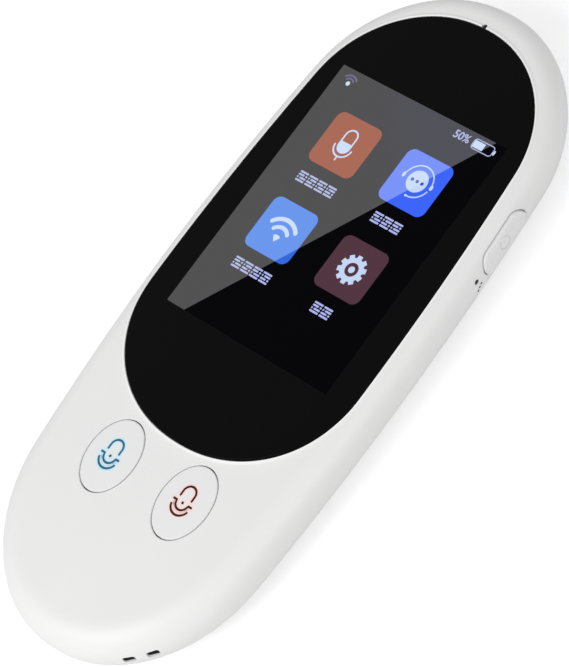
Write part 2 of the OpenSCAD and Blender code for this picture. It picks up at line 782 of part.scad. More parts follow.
// ---- Glass and display ----------------------------------------------------
module cover_glass() {
  color("black") glass_slab([0, 0, -glass_edge * 0.3, -glass_edge],
    [glass_z, glass_top - glass_edge, glass_top - glass_edge * 0.3, glass_top]);
}
module glass_tape() {
  color("dimgray") translate([0, 0, floor_top]) linear_extrude(tape_t) difference() {
    polygon(inset(glass_line, glass_gap));
    polygon(inset(glass_line, glass_gap + tape_w));
  }
}
module touch_sensor() {
  x = picture_w / 2 + sensor_rim;
  y = picture_l / 2 + sensor_rim;
  color("black") slab([-x, picture_y - y], [x, picture_y + y], sensor_z, glass_z);
}
module display_panel() {
  color("midnightblue")
    slab([-panel_x, panel_low_y], [panel_x, panel_high_y], panel_z, sensor_z);
}
module display_backlight() {
  color("whitesmoke") slab([-panel_x, panel_low_y + driver_border / 2],
                           [panel_x, panel_high_y], light_z, panel_z);
}
module display_tray() {
  color("silver") difference() {
    slab([-tray_x, tray_low_y], [tray_x, tray_high_y], tray_z, sensor_z - 0.2);
    slab([-tray_x + tray_t, tray_low_y + tray_t], [tray_x - tray_t, tray_high_y - tray_t],
         light_z, glass_z);
    block([-ribbon_w / 2 - 0.5, tray_low_y - past, light_z],
          [ribbon_w / 2 + 0.5, panel_low_y + past, glass_z]);
  }
}
module display_foam() {
  x = panel_x - 2;
  color("dimgray") difference() {
    slab([-x, panel_low_y + 2], [x, panel_high_y - 2], foam_z, tray_z, 1);
    slab([-x + 4, panel_low_y + 6], [x - 4, panel_high_y - 6], foam_z - past, tray_z + past, 1);
    board_parts_room();
  }
}
module display_ribbon() {
  y = tray_low_y - 0.15;
  bend_r = (panel_z - ribbon_low_z) / 2;
  color("orange") along_x(-ribbon_w / 2, ribbon_w / 2) {
    translate([y, panel_z - ribbon_t]) square([panel_low_y + 1.2 - y, ribbon_t]);
    translate([y, ribbon_low_z]) square([connector_y - connector_l / 2 - y, ribbon_t]);
    translate([y, ribbon_low_z + bend_r]) difference() {
      circle(bend_r);
      circle(bend_r - ribbon_t);
      translate([0, -bend_r - past]) square(2 * (bend_r + past));
    }
  }
}
module display_connector() {
  x = ribbon_w / 2 + 0.6;
  color("ivory") block([-x, connector_y - connector_l / 2, board_top],
                       [x, connector_y + connector_l / 2, board_top + connector_h]);
}
// Space of the power switch and the microphone in the display's foam and bracket
module board_parts_room() {
  reach = power_switch_l / 2 + part_room;
  block([power_switch_x - power_switch_d - part_room, power_y - reach, 0],
        [body_w, power_y + reach, tray_z]);
  block([notch_x - mic_w - part_room, boot_y - mic_l / 2 - part_room, 0],
        [body_w, boot_y + mic_l / 2 + part_room, tray_z]);
}
module display_bracket() {
  color("gray") difference() {
    union() {
      slab([-tray_x, bracket_low_y], [tray_x, tray_high_y], bracket_z, foam_z, 1);
      at_both_sides() {
        slab([tray_x - 3, -bracket_ear], [side_boss_x + bracket_ear, bracket_ear],
             bracket_z, foam_z, 1);
        slab([top_boss_x - bracket_ear, tray_high_y - 3],
             [top_boss_x + bracket_ear, top_boss_y + bracket_ear], bracket_z, foam_z, 1);
      }
      for (p = board_places) pin(p, boss_r, board_top, foam_z);
    }
    for (p = board_places) pin(p, screw_r + screw_gap, board_top - past, foam_z + past);
    board_parts_room();
  }
}

// ---- Talk buttons and key board -------------------------------------------
module talk_button(x) {
  intersection() {
    translate([x, -button_y, flange_z])
      linear_extrude(body_t) polygon(oval(button_w, button_l));
    pod_high(0, seam_z);
  }
  translate([x, -button_y, flange_z])
    linear_extrude(flange_t) polygon(oval(button_w + 2 * flange_w, button_l + 2 * flange_w));
  pin([x, -button_y], stem_r, plunger_top, flange_z + flange_t / 2);
}
module left_button() {
  color("white") talk_button(-button_x);
}
module right_button() {
  color("white") talk_button(button_x);
}
module talk_plunger(x) {
  color("dimgray")
    pin([x, -button_y], talk_plunger_r, switch_top - plunger_in, plunger_top);
}
module left_plunger() {
  talk_plunger(-button_x);
}
module right_plunger() {
  talk_plunger(button_x);
}
module talk_switch(x) {
  w = talk_switch_w / 2;
  color("silver") difference() {
    block([x - w, -button_y - w, key_top], [x + w, -button_y + w, switch_top]);
    pin([x, -button_y], talk_plunger_r + plunger_gap,
        switch_top - plunger_in - button_travel - bore_spare, switch_top + past);
  }
}
module left_switch() {
  talk_switch(-button_x);
}
module right_switch() {
  talk_switch(button_x);
}
module key_board() {
  x = key_board_w / 2;
  y = key_board_l / 2;
  color("darkgreen") difference() {
    slab([-x, -button_y - y], [x, -button_y + y], key_z, key_top, 1);
    for (p = key_places) pin(p, screw_r + screw_gap, key_z - past, key_top + past);
  }
}
// The ribbon lies on both boards and slopes over the battery between them
module key_ribbon() {
  start = -button_y + key_board_l / 2;
  path = [[start - ribbon_lap, key_top], [start + ribbon_lap, key_top],
          [-board_low - 2 * ribbon_lap, board_top], [-board_low + 2 * ribbon_lap, board_top]];
  upper = [for (i = [3:-1:0]) path[i] + [0, ribbon_t]];
  color("orange") along_x(plug_x, plug_x + key_ribbon_w) polygon(concat(path, upper));
}

// ---- Power button ---------------------------------------------------------
module power_button() {
  color("white") {
    intersection() {
      along_x(power_flange_x, body_w) translate([power_y, power_z]) pill(power_l, power_h);
      pod_high(-power_proud, seam_z);
    }
    block([power_flange_x, power_y - power_reach, power_flange_low],
          [power_flange_x + flange_t, power_y + power_reach, power_flange_top]);
    along_x(power_plunger_x, power_flange_x + flange_t / 2)
      translate([power_y, power_plunger_z]) circle(nub_r);
  }
}
module power_plunger() {
  color("dimgray") along_x(power_switch_x - plunger_in, power_plunger_x)
    translate([power_y, power_plunger_z]) circle(power_plunger_r);
}
module power_switch() {
  l = power_switch_l / 2;
  color("silver") difference() {
    block([power_switch_x - power_switch_d, power_y - l, board_top],
          [power_switch_x, power_y + l, board_top + power_switch_h]);
    along_x(power_switch_x - plunger_in - power_travel - bore_spare, power_switch_x + past)
      translate([power_y, power_plunger_z]) circle(power_plunger_r + plunger_gap);
  }
}

// ---- Microphones ----------------------------------------------------------
module side_microphone() {
  color("silver") difference() {
    block([notch_x - mic_w, boot_y - mic_l / 2, board_top],
          [notch_x, boot_y + mic_l / 2, board_top + mic_h]);
    along_x(notch_x - mic_w / 2, notch_x + past)
      translate([boot_y, side_mic_z]) circle(port_r);
  }
}
// Rubber boot that leads the sound from the holes in the wall to the microphone
module side_mic_boot() {
  color("dimgray") difference() {
    block([notch_x, boot_y - boot_w / 2, boot_low], [seat_x, boot_y + boot_w / 2, boot_high]);
    block([notch_x + boot_wall, boot_y - chamber_w / 2, boot_low + boot_wall],
          [seat_x + past, boot_y + chamber_w / 2, boot_high - boot_wall]);
    along_x(notch_x - past, notch_x + past) translate([boot_y, side_mic_z]) circle(port_r);
  }
}
module top_microphone() {
  color("silver") difference() {
    block([-mic_l / 2, top_mic_y - mic_w / 2, board_top],
          [mic_l / 2, top_mic_y + mic_w / 2, board_top + mic_h]);
    pin([0, top_mic_y], port_r, board_top + mic_h / 2, board_top + mic_h + past);
  }
}
// Rubber duct over the charging socket, from the microphone to its hole
module top_mic_boot() {
  low = board_top + mic_h;
  color("dimgray") difference() {
    union() {
      block([-duct_w / 2, top_mic_y - duct_w / 2, duct_z],
            [duct_w / 2, top_hole_y + 0.9, floor_z]);
      block([-duct_w / 2, top_mic_y - mic_w / 2, low],
            [duct_w / 2, top_mic_y + mic_w / 2, mix(duct_z, floor_z, 0.2)]);
    }
    pin([0, top_mic_y], duct_r, low - past, duct_mid);
    along_y(top_mic_y, top_hole_y) translate([0, duct_mid]) circle(duct_r);
    pin([0, top_hole_y], duct_r, duct_mid, floor_z + past);
  }
}

// ---- Main board -----------------------------------------------------------
module main_board() {
  notch_low = boot_y - boot_w / 2 - 0.3;
  notch_high = power_y + power_reach + 0.3;
  color("darkgreen") translate([0, 0, board_z]) linear_extrude(board_t) difference() {
    intersection() {
      polygon(inset(body_line, board_margin));
      translate([-body_w / 2, -board_low]) square([body_w, body_l]);
    }
    translate([notch_x, notch_low]) square([body_w, notch_high - notch_low]);
    translate([-usb_w / 2 - 0.1, usb_back - 0.1]) square([usb_w + 0.2, body_l]);
    for (p = board_places) translate(p) circle(screw_r + screw_gap);
  }
}
module processor() {
  x = shield_x - 3;
  w = processor_w / 2;
  color("dimgray") block([x - w, shield_y - w, board_z - chip_t],
                         [x + w, shield_y + w, board_z]);
}
module memory_chip() {
  x = shield_x + 5.5;
  color("dimgray") block([x - memory_w / 2, shield_y - memory_l / 2, board_z - chip_t],
                         [x + memory_w / 2, shield_y + memory_l / 2, board_z]);
}
module shield_can() {
  a = [shield_x - shield_w / 2, shield_y - shield_l / 2];
  b = [shield_x + shield_w / 2, shield_y + shield_l / 2];
  t = [shield_t, shield_t];
  color("silver") difference() {
    slab(a, b, board_z - shield_h, board_z);
    slab(a + t, b - t, board_z - shield_h + shield_t, board_z + past);
  }
}
module wireless_module() {
  color("silver") slab([wireless_x - wireless_w / 2, wireless_y - wireless_l / 2],
    [wireless_x + wireless_w / 2, wireless_y + wireless_l / 2], board_z - wireless_h, board_z);
}
module usb_shell() {
  color("silver") {
    difference() {
      along_y(usb_back, usb_mouth) translate([0, usb_z]) pill(usb_w, usb_h);
      along_y(usb_back - past, usb_mouth + past) translate([0, usb_z])
        pill(usb_w - 2 * usb_sheet, usb_h - 2 * usb_sheet);
    }
    at_both_sides() block([usb_w / 2 - usb_sheet / 2, usb_back + 0.8, board_top],
                          [usb_w / 2 + usb_wing, usb_back + 5, board_top + usb_sheet]);
  }
}
module usb_tongue() {
  color("black") {
    along_y(usb_back, usb_back + tongue_base) translate([0, usb_z])
      pill(usb_w - 2 * usb_sheet - 0.04, usb_h - 2 * usb_sheet - 0.04);
    block([-tongue_w / 2, usb_back + tongue_base / 2, usb_z - tongue_t / 2],
          [tongue_w / 2, usb_back + tongue_base + tongue_l, usb_z + tongue_t / 2]);
  }
}

// ---- Battery --------------------------------------------------------------
module battery() {
  x = battery_w / 2;
  color("lightgray")
    slab([-x, battery_low_y], [x, battery_high_y], battery_z, battery_top, 1);
}
module battery_tape() {
  x = battery_w / 2 - 3;
  color("black") slab([-x, battery_low_y + 6], [x, battery_high_y - 3], wall, battery_z);
}
module battery_foam() {
  color("dimgray") slab([-battery_w / 3, -button_y - key_board_l / 4],
                        [battery_w / 3, -button_y + key_board_l / 4], battery_top, key_z);
}
module battery_leads() {
  color("red") for (i = [-1:1])
    translate([plug_x + 1.6 * i, plug_y - plug_l / 2, board_z - plug_h / 2])
      rotate([90, 0, 0]) cylinder(d = wire_d, h = plug_y - plug_l / 2 - battery_high_y);
}
module battery_plug() {
  color("ivory") block([plug_x - plug_w / 2, plug_y - plug_l / 2, board_z - plug_h],
                       [plug_x + plug_w / 2, plug_y + plug_l / 2, board_z]);
}

// ---- Speaker and antenna --------------------------------------------------
module speaker() {
  x = speaker_w / 2;
  y = speaker_l / 2;
  color("dimgray") slab([-x, speaker_y - y], [x, speaker_y + y], speaker_z,
                        speaker_z + speaker_t, 1);
}
module speaker_gasket() {
  x = speaker_w / 2;
  y = speaker_l / 2;
  color("black") difference() {
    slab([-x, speaker_y - y], [x, speaker_y + y], wall + mesh_t, speaker_z, 1);
    slab([-x + gasket_w, speaker_y - y + gasket_w], [x - gasket_w, speaker_y + y - gasket_w],
         wall, speaker_z + past, 0.5);
  }
}
module speaker_mesh() {
  x = speaker_w / 2 - 0.5;
  y = speaker_l / 2 - 0.5;
  color("dimgray") slab([-x, speaker_y - y], [x, speaker_y + y], wall, wall + mesh_t, 1);
}
// Two wires from the speaker, past the battery, up to the main board
module speaker_leads() {
  start_x = -speaker_w / 2;
  start_z = speaker_z + speaker_t / 2;
  run_x = -battery_w / 2 - rib_gap - rib_t - wire_d;
  color("firebrick") for (k = [0, 1]) {
    x = run_x - k * run_pitch;
    y = speaker_y + (0.5 - k) * run_pitch;
    wire([[start_x, y, start_z], [start_x - 2 * run_pitch, y, start_z],
          [x + 2 * run_pitch, y + 3 * run_pitch, run_z + 0.4],
          [x, battery_low_y + rib_short / 2, run_z], [x, battery_high_y - rib_short, run_z],
          [x, -board_low - run_end, run_z + 0.4], [x, -board_low + run_end, board_z]],
         [-1, 0, 0], [0, 0, 1], [0, 0, 1]);
  }
}
module antenna() {
  color("goldenrod") slab([-antenna_w / 2, antenna_y - antenna_l / 2],
    [antenna_w / 2, antenna_y + antenna_l / 2], wall, wall + antenna_t);
}
module antenna_lead() {
  low = wall + antenna_t;
  color("black") wire([[-lead_x, antenna_y, low], [-lead_x, antenna_y, low + lead_rise],
                       [-lead_x / 2, antenna_y, low + 2 * lead_rise],
                       [lead_x / 2, antenna_y, low + 2.2 * lead_rise],
                       [lead_x, antenna_y, board_z - lead_rise], [lead_x, antenna_y, board_z]],
                      [0, 0, 1], [0, 0, 1], [0, 1, 0]);
}

front_housing();
rear_cover();
cover_glass();
glass_tape();
touch_sensor();
display_panel();
display_backlight();
display_tray();
display_foam();
display_ribbon();
display_connector();
display_bracket();
left_button();
right_button();
left_plunger();
right_plunger();
left_switch();
right_switch();
key_board();
key_ribbon();
power_button();
power_plunger();
power_switch();
side_microphone();
side_mic_boot();
top_microphone();
top_mic_boot();
main_board();
processor();
memory_chip();
shield_can();
wireless_module();
usb_shell();
usb_tongue();
battery();
battery_tape();
battery_foam();
battery_leads();
battery_plug();
speaker();
speaker_gasket();
speaker_mesh();
speaker_leads();
antenna();
antenna_lead();
for (i = [0:3]) {
  screw(board_places[i], board_z, board_screw_l);
  screw(key_places[i], key_z, key_screw_l);
}
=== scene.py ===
import json
import math

import bmesh
import bpy
import numpy as np
from mathutils import Matrix, Vector


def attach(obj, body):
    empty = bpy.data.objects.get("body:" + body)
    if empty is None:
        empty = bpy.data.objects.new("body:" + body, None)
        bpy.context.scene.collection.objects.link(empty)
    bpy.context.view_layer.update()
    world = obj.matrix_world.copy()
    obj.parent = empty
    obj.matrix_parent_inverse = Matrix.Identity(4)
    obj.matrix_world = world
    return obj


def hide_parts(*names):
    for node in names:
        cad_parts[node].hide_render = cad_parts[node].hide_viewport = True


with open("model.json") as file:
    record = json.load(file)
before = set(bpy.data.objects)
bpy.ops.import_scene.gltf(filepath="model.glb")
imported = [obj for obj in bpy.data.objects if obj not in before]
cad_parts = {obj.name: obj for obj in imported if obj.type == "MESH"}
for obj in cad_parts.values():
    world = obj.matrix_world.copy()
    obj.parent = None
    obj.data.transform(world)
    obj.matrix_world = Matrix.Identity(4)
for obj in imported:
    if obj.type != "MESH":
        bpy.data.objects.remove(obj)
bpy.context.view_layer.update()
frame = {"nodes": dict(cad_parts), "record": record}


# ---- Shapes -------------------------------------------------------------------------
# Outlines are rows of x and y. A piece is a primitive that is laid out ring by ring,
# then cut and joined with others. Lengths are in millimetres, and meshes in metres.
mm = 0.001
sliver = 0.002 * mm


def inwards(line):
    along = np.roll(line, -1, 0) - np.roll(line, 1, 0)
    return np.column_stack([along[:, 1], -along[:, 0]]) / np.linalg.norm(along, axis=1)[:, None]


def offset(line, out):
    return line - out * inwards(line)


def level(line, height):
    return np.column_stack([line, np.broadcast_to(height, len(line))])


def along_x(outline, x):
    return np.column_stack([np.broadcast_to(x, len(outline)), outline])


def oval(middle, width, length, count=96):
    turn = np.radians(np.arange(count) * -360 / count)
    return np.column_stack([middle[0] + width / 2 * np.cos(turn),
                            middle[1] + length / 2 * np.sin(turn)])


def disc(middle, radius, count=24):
    return oval(middle, 2 * radius, 2 * radius, count)


def pill(middle, length, height, count=24):
    """Outline with two half-round ends, long side along the first axis."""
    turn = np.radians(np.linspace(90, -90, count))
    end = np.column_stack([np.cos(turn), np.sin(turn)]) * height / 2
    end[:, 0] += (length - height) / 2
    return np.array(middle) + np.vstack([end, end[::-1] * [-1, 1]])


def rounded(middle, width, length, radius, count=10):
    """Rectangle with round corners, as rows of x and y."""
    rows = []
    for across, up, start in ((1, 1, 90), (1, -1, 0), (-1, -1, -90), (-1, 1, -180)):
        turn = np.radians(np.linspace(start, start - 90, count))
        rows.append(np.column_stack([
            middle[0] + across * (width / 2 - radius) + radius * np.cos(turn),
            middle[1] + up * (length / 2 - radius) + radius * np.sin(turn)]))
    return np.vstack(rows)


def arc(middle, radius, first, last, count=24):
    turn = np.radians(np.linspace(first, last, count))
    return np.column_stack([middle[0] + radius * np.cos(turn), middle[1] + radius * np.sin(turn)])


def stroke(points, width, caps=8):
    """Outline of a line of some width with round ends."""
    points = np.array(points, float)
    along = np.gradient(points, axis=0)
    along /= np.linalg.norm(along, axis=1)[:, None]
    side = np.column_stack([-along[:, 1], along[:, 0]]) * width / 2
    rows = [points + side]
    for end, start in ((-1, side[-1]), (0, -side[0])):
        turn = np.radians(np.linspace(0, -180, caps))[1:-1]
        rows.append(points[end] + np.column_stack([
            start[0] * np.cos(turn) - start[1] * np.sin(turn),
            start[0] * np.sin(turn) + start[1] * np.cos(turn)]))
        if end == -1:
            rows.append((points - side)[::-1])
    return np.vstack(rows)


def select(*pieces):
    """Selects these pieces alone and makes the first one active."""
    bpy.ops.object.select_all(action="DESELECT")
    for piece in pieces:
        piece.select_set(True)
    bpy.context.view_layer.objects.active = pieces[0]


def raised(row, made):
    """The vertex that an extrusion made from each vertex of a row."""
    new = {v for v in made["geom"] if isinstance(v, bmesh.types.BMVert)}
    return [next(e.other_vert(v) for e in v.link_edges if e.other_vert(v) in new) for v in row]


def loft(name, rings, closed=False):
    """A primitive circle, extruded once for every further ring, then capped or closed."""
    bpy.ops.mesh.primitive_circle_add(vertices=len(rings[0]))
    piece = bpy.context.object
    piece.name = piece.data.name = name
    bpy.ops.object.mode_set(mode="EDIT")
    shape = bmesh.from_edit_mesh(piece.data)
    rows = [list(shape.verts)]
    while len(rows) < len(rings):
        edges = [shape.edges.get(ends) for ends in zip(rows[-1], rows[-1][1:] + rows[-1][:1])]
        rows.append(raised(rows[-1], bmesh.ops.extrude_edge_only(shape, edges=edges)))
    for row, ring in zip(rows, rings):
        for vertex, place in zip(row, ring):
            vertex.co = Vector(place) * mm
    if not closed:
        for end in (rows[0], rows[-1]):
            shape.faces.new(end)
    bmesh.update_edit_mesh(piece.data)
    bpy.ops.mesh.select_all(action="SELECT")
    bpy.ops.mesh.remove_doubles(threshold=1e-7)
    bpy.ops.mesh.normals_make_consistent(inside=False)
    bpy.ops.object.mode_set(mode="OBJECT")
    return piece


def plate(name, outline, low, high):
    """A thin plate: a primitive circle laid out on an outline, filled and extruded up."""
    bpy.ops.mesh.primitive_circle_add(vertices=len(outline), fill_type="NGON")
    piece = bpy.context.object
    piece.name = piece.data.name = name
    low, high = np.broadcast_to(low, len(outline)), np.broadcast_to(high, len(outline))
    bpy.ops.object.mode_set(mode="EDIT")
    shape = bmesh.from_edit_mesh(piece.data)
    row = list(shape.verts)
    upper = raised(row, bmesh.ops.extrude_face_region(shape, geom=list(shape.faces)))
    for lower_vertex, upper_vertex, (x, y), z, top in zip(row, upper, outline, low, high):
        lower_vertex.co = Vector((x, y, z)) * mm
        upper_vertex.co = Vector((x, y, top)) * mm
    bmesh.update_edit_mesh(piece.data)
    bpy.ops.mesh.select_all(action="SELECT")
    bpy.ops.mesh.normals_make_consistent(inside=False)
    bpy.ops.object.mode_set(mode="OBJECT")
    return piece


def join(name, *pieces):
    select(*pieces)
    if len(pieces) > 1:
        bpy.ops.object.join()
    pieces[0].name = pieces[0].data.name = name
    return pieces[0]


def carve(piece, tool, operation="DIFFERENCE"):
    """Applies one exact Boolean, removes the tool and takes out faces without area."""
    select(piece)
    modifier = piece.modifiers.new("carve", "BOOLEAN")
    modifier.object, modifier.operation, modifier.solver = tool, operation, "EXACT"
    bpy.ops.object.modifier_apply(modifier=modifier.name)
    bpy.data.objects.remove(tool)
    bpy.ops.object.mode_set(mode="EDIT")
    bpy.ops.mesh.select_all(action="SELECT")
    bpy.ops.mesh.remove_doubles(threshold=sliver)
    bpy.ops.mesh.dissolve_degenerate(threshold=sliver / 2)
    bpy.ops.mesh.delete_loose(use_verts=True, use_edges=True, use_faces=False)
    bpy.ops.object.mode_set(mode="OBJECT")


def block(name, low, high):
    low, high = Vector(low) * mm, Vector(high) * mm
    bpy.ops.mesh.primitive_cube_add(size=1, location=(low + high) / 2, scale=high - low)
    piece = bpy.context.object
    piece.name = name
    bpy.ops.object.transform_apply(location=True, rotation=True, scale=True)
    return piece


# ---- Finishes -----------------------------------------------------------------------
# What the materials are made with: patterns on object coordinates in millimetres that
# vary colour, gloss and relief. A finished piece is dressed in one and set on its body.
class Number:
    """A number that a node gives. Arithmetic on it adds Math nodes."""

    def __init__(self, finish, socket):
        self.finish, self.socket = finish, socket

    def math(self, operation, *inputs):
        return self.finish.node("ShaderNodeMath", {"operation": operation}, dict(enumerate(inputs)))

    def __add__(self, other):
        return self.math("ADD", self, other)

    def __sub__(self, other):
        return self.math("SUBTRACT", self, other)

    def __mul__(self, other):
        return self.math("MULTIPLY", self, other)

    def __gt__(self, other):
        return self.math("GREATER_THAN", self, other)

    __radd__, __rmul__ = __add__, __mul__


class Finish:
    """A material, or the world, while its nodes are laid out."""

    def __init__(self, name, kind=bpy.data.materials):
        self.made = kind.new(name)
        self.made.use_nodes = True
        self.nodes = self.made.node_tree
        self.nodes.nodes.clear()

    def node(self, kind, settings, inputs, out=0):
        """Adds a node: its settings first, then the values or links of its sockets."""
        node = self.nodes.nodes.new(kind)
        for name, value in settings.items():
            setattr(node, name, value)
        for name, value in inputs.items():
            if isinstance(value, Number):
                self.nodes.links.new(value.socket, node.inputs[name])
            else:
                node.inputs[name].default_value = value
        return Number(self, node.outputs[out]) if node.outputs else node

    def place(self, middle=(0, 0, 0), scale=(1, 1, 1)):
        """Object coordinates in millimetres from a middle, each stretched by a scale."""
        spot = self.node("ShaderNodeTexCoord", {}, {}, "Object")
        grow = [s / mm for s in scale]
        return self.node("ShaderNodeMapping", {}, {
            "Vector": spot, "Location": [-m * s for m, s in zip(middle, scale)], "Scale": grow})

    def noise(self, place, scale, detail=2.0):
        return self.node("ShaderNodeTexNoise", {}, {
            "Vector": place, "Scale": scale, "Detail": detail}, "Fac")

    def mix(self, share, first, second):
        return self.node("ShaderNodeMix", {"data_type": "RGBA"}, {0: share, 6: first, 7: second}, 2)

    def bump(self, height, depth):
        """Bump from a height between 0 and 1 that stands for a depth in millimetres."""
        return self.node("ShaderNodeBump", {}, {
            "Height": height, "Distance": depth * mm, "Strength": 1.0})

    def surface(self, inputs):
        shader = self.node("ShaderNodeBsdfPrincipled", {}, inputs)
        self.node("ShaderNodeOutputMaterial", {}, {"Surface": shader})
        return self.made


def paint(red, green, blue):
    """Linear colour of a screen colour with values up to 255."""
    parts = [c / 255 for c in (red, green, blue)]
    return [c / 12.92 if c < 0.04045 else ((c + 0.055) / 1.055) ** 2.4 for c in parts] + [1.0]


def satin_plastic(name, light, dark, roughness, grain=6.0, depth=0.004):
    """Moulded plastic: a fine spark-eroded grain, with slow changes of tone and gloss."""
    finish = Finish(name)
    place = finish.place()
    slow = finish.noise(place, 0.06)
    fine = finish.noise(place, grain, 3.0)
    return finish.surface({
        "Base Color": finish.mix(slow, paint(*dark), paint(*light)),
        "Roughness": roughness + 0.08 * (slow - 0.5) + 0.05 * (fine - 0.5),
        "Normal": finish.bump(fine, depth), "IOR": 1.46})


def rubber(name, light, dark, roughness=0.7):
    finish = Finish(name)
    grain = finish.noise(finish.place(), 5.0, 3.0)
    return finish.surface({
        "Base Color": finish.mix(grain, paint(*dark), paint(*light)),
        "Roughness": roughness + 0.1 * (grain - 0.5), "Normal": finish.bump(grain, 0.006)})


def dress(piece, material, body, slot, *nodes, angle=32):
    """Smooths a finished piece, gives it its material and sets it on its body."""
    select(piece)
    bpy.ops.object.shade_smooth_by_angle(angle=math.radians(angle))
    piece.data.materials.clear()
    piece.data.materials.append(material)
    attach(piece, body)
    if nodes:
        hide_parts(*nodes)
    return piece


# ---- Front housing ------------------------------------------------------------------
# One moulding of white satin plastic: the front face, the side walls, the raised lip
# round the glass and the floor that the glass is taped to. It snaps over the rear
# cover and carries the boards on its screw bosses.
half_width, half_length, front_face = 26.75, 63.4, 11.6
side_radius, end_power = 465.0, 2.15
display_end, lower_end = 23.4, 26.0
edge_at_display, edge_at_chin, back_edge = 3.35, 4.95, 8.4
picture_middle = 17.55
chin_drop, drop_starts, drop_curve = 0.5, picture_middle - 20, 1.5
seam_height, seam_chamfer, wall = 2.6, 0.09, 1.4
glass_half_width, glass_high, glass_low = 23.8, 58.25, -25.75
glass_high_end, glass_low_end = 19.7, 21.1
glass_gap, floor_reach, floor_lean = 0.1, 1.0, 0.05
floor_high, floor_low = 10.65, 9.65
window_x, window_low, window_high = 19.71, -11.58, 43.58
# The lip's profile: distance out from the glass, height above the front face
lip = [(0.8, 0.0), (0.66, 0.03), (0.52, 0.1), (0.4, 0.15), (0.28, 0.17), (0.18, 0.14), (0.1, 0.05)]


def round_end_line(half, top, low, top_end, low_end, end_steps=40, side_steps=40):
    """Outline with two round ends, clockwise from its top point, as rows of x and y."""
    turn = np.radians(np.linspace(90, 0, end_steps + 1))
    share = np.cos(turn) ** (2 / end_power)
    depth = 1 - np.sin(turn) ** (2 / end_power)
    sides = np.linspace(top - top_end, low + low_end, side_steps + 1)[1:-1]
    y = np.concatenate([top - depth * top_end, sides, (low + depth * low_end)[::-1]])
    x = (half - y * y / (2 * side_radius)) * np.concatenate(
        [share, np.ones(len(sides)), share[::-1]])
    right = np.column_stack([x, y])
    return np.vstack([right, right[-2:0:-1] * [-1, 1]])


def edge_round(y):
    share = np.clip((picture_middle - y) / (picture_middle + half_length), 0, 1)
    return edge_at_display + (edge_at_chin - edge_at_display) * share * share * (3 - 2 * share)


def widest(y):
    share = np.clip((drop_starts - y) / (drop_starts + half_length), 0, 1)
    return front_face - chin_drop * share ** drop_curve - edge_round(y)


body_line = round_end_line(half_width, half_length, -half_length, display_end, lower_end)
glass_line = round_end_line(glass_half_width, glass_high, glass_low, glass_high_end, glass_low_end)


def skin(depth, angle, slide=0.0):
    """Ring on the body's skin: -90 degrees is the back face, 0 the widest line, 90 the front."""
    y = body_line[:, 1]
    angle = np.broadcast_to(angle, y.shape)
    edge = edge_round(y)
    across = np.where(angle > 0, edge, back_edge) - depth
    rise = np.where(angle > 0, edge, widest(y)) - depth
    turn = np.radians(angle)
    slip = depth + slide + across * (1 - np.cos(turn))
    return level(body_line + slip[:, None] * inwards(body_line), widest(y) + rise * np.sin(turn))


def cut_angle(depth, height):
    """Angle of the skin, below its widest line, at a height."""
    middle = widest(body_line[:, 1])
    return np.degrees(np.arcsin(np.clip((height - middle) / (middle - depth), -1, 1)))


def face_height(y):
    edge = skin(0, 90)[:len(body_line) // 2 + 1]
    return np.interp(np.negative(y), -edge[:, 1], edge[:, 2])


def skin_height(plan, depth=0.0):
    """Height of the front skin over points of the plan."""
    start, step = body_line, np.roll(body_line, -1, 0) - body_line
    away = plan[:, None] - start
    share = np.clip((away * step).sum(2) / (step * step).sum(1), 0, 1)
    foot = start + share[..., None] * step
    far = np.linalg.norm(plan[:, None] - foot, axis=2)
    nearest = far.argmin(1)
    rows = np.arange(len(plan))
    y = foot[rows, nearest, 1]
    radius = edge_round(y) - depth
    into = np.clip((far[rows, nearest] - depth) / radius, 0, 1)
    curved = widest(y) + radius * np.sqrt(1 - (1 - into) ** 2)
    return np.where(into < 1, curved, face_height(plan[:, 1]) - depth)


def between(first, last, steps, depth, lean):
    """Rings of the front skin from one ring to the plan of another, closest near the first."""
    plans = [first[:, :2] + (last - first[:, :2]) * share
             for share in (np.arange(1, steps + 1) / steps) ** lean]
    return [level(plan, skin_height(plan, depth)) for plan in plans]


talk_places = [(-8.55, -33.2), (8.55, -33.2)]
talk_width, talk_length, talk_gap = 9.9, 13.3, 0.2
power_y, power_z, power_long, power_high = 29.5, 7.5, 11.6, 4.7
power_stands_out = 0.2
mouth, above_skin, beyond = 0.12, 0.002, 2
seat_x, bore_start, hole_bottom, hole_top = 23.31, 22.31, 8.5, 13
pad_y, pad_z = (19.0, 37.3), (4.4, 10.15)
sound_hole, pinhole = 0.5, 0.26
sound_y, sound_z = 21.5, 8.1
pinholes = [(20.95, 5.9), (21.5, 6.3), (22.05, 6.7)]
top_hole_y = 58.6
socket_z, socket_wide, socket_high = 6.2, 9.18, 3.4
socket_y = (59.4, 65)
lanyard_y, slot_up = -56.7, 0.5
slot_long, slot_high, slot_pitch, slot_round = 2.2, 1.4, 4.13, 0.45
bar, tunnel, lanyard_wall = 1.7, 1.6, 1.0
pod_foot = 4.2


def side_x(outline, out=0.0):
    """How far right the side of the body is at rows of y and z, plus some distance out."""
    y, z = outline[:, 0], outline[:, 1]
    middle, edge = widest(y), edge_round(y) + out
    up = np.clip((z - middle) / edge, -1, 1)
    down = np.clip((z - middle) / (middle + out), -1, 1)
    slip = np.where(z > middle, edge * (1 - np.sqrt(1 - up ** 2)),
                    (back_edge + out) * (1 - np.sqrt(1 - down ** 2)))
    return half_width - y * y / (2 * side_radius) + out - slip


def pod(depth):
    """The body inside its skin, to trim what is added behind the walls."""
    foot = cut_angle(depth, pod_foot)
    rings = [skin(depth, foot * share) for share in (1, 0.75, 0.5, 0.25, 0)]
    return loft("pod", rings + [skin(depth, angle) for angle in (15, 30, 45, 60, 75, 90)])


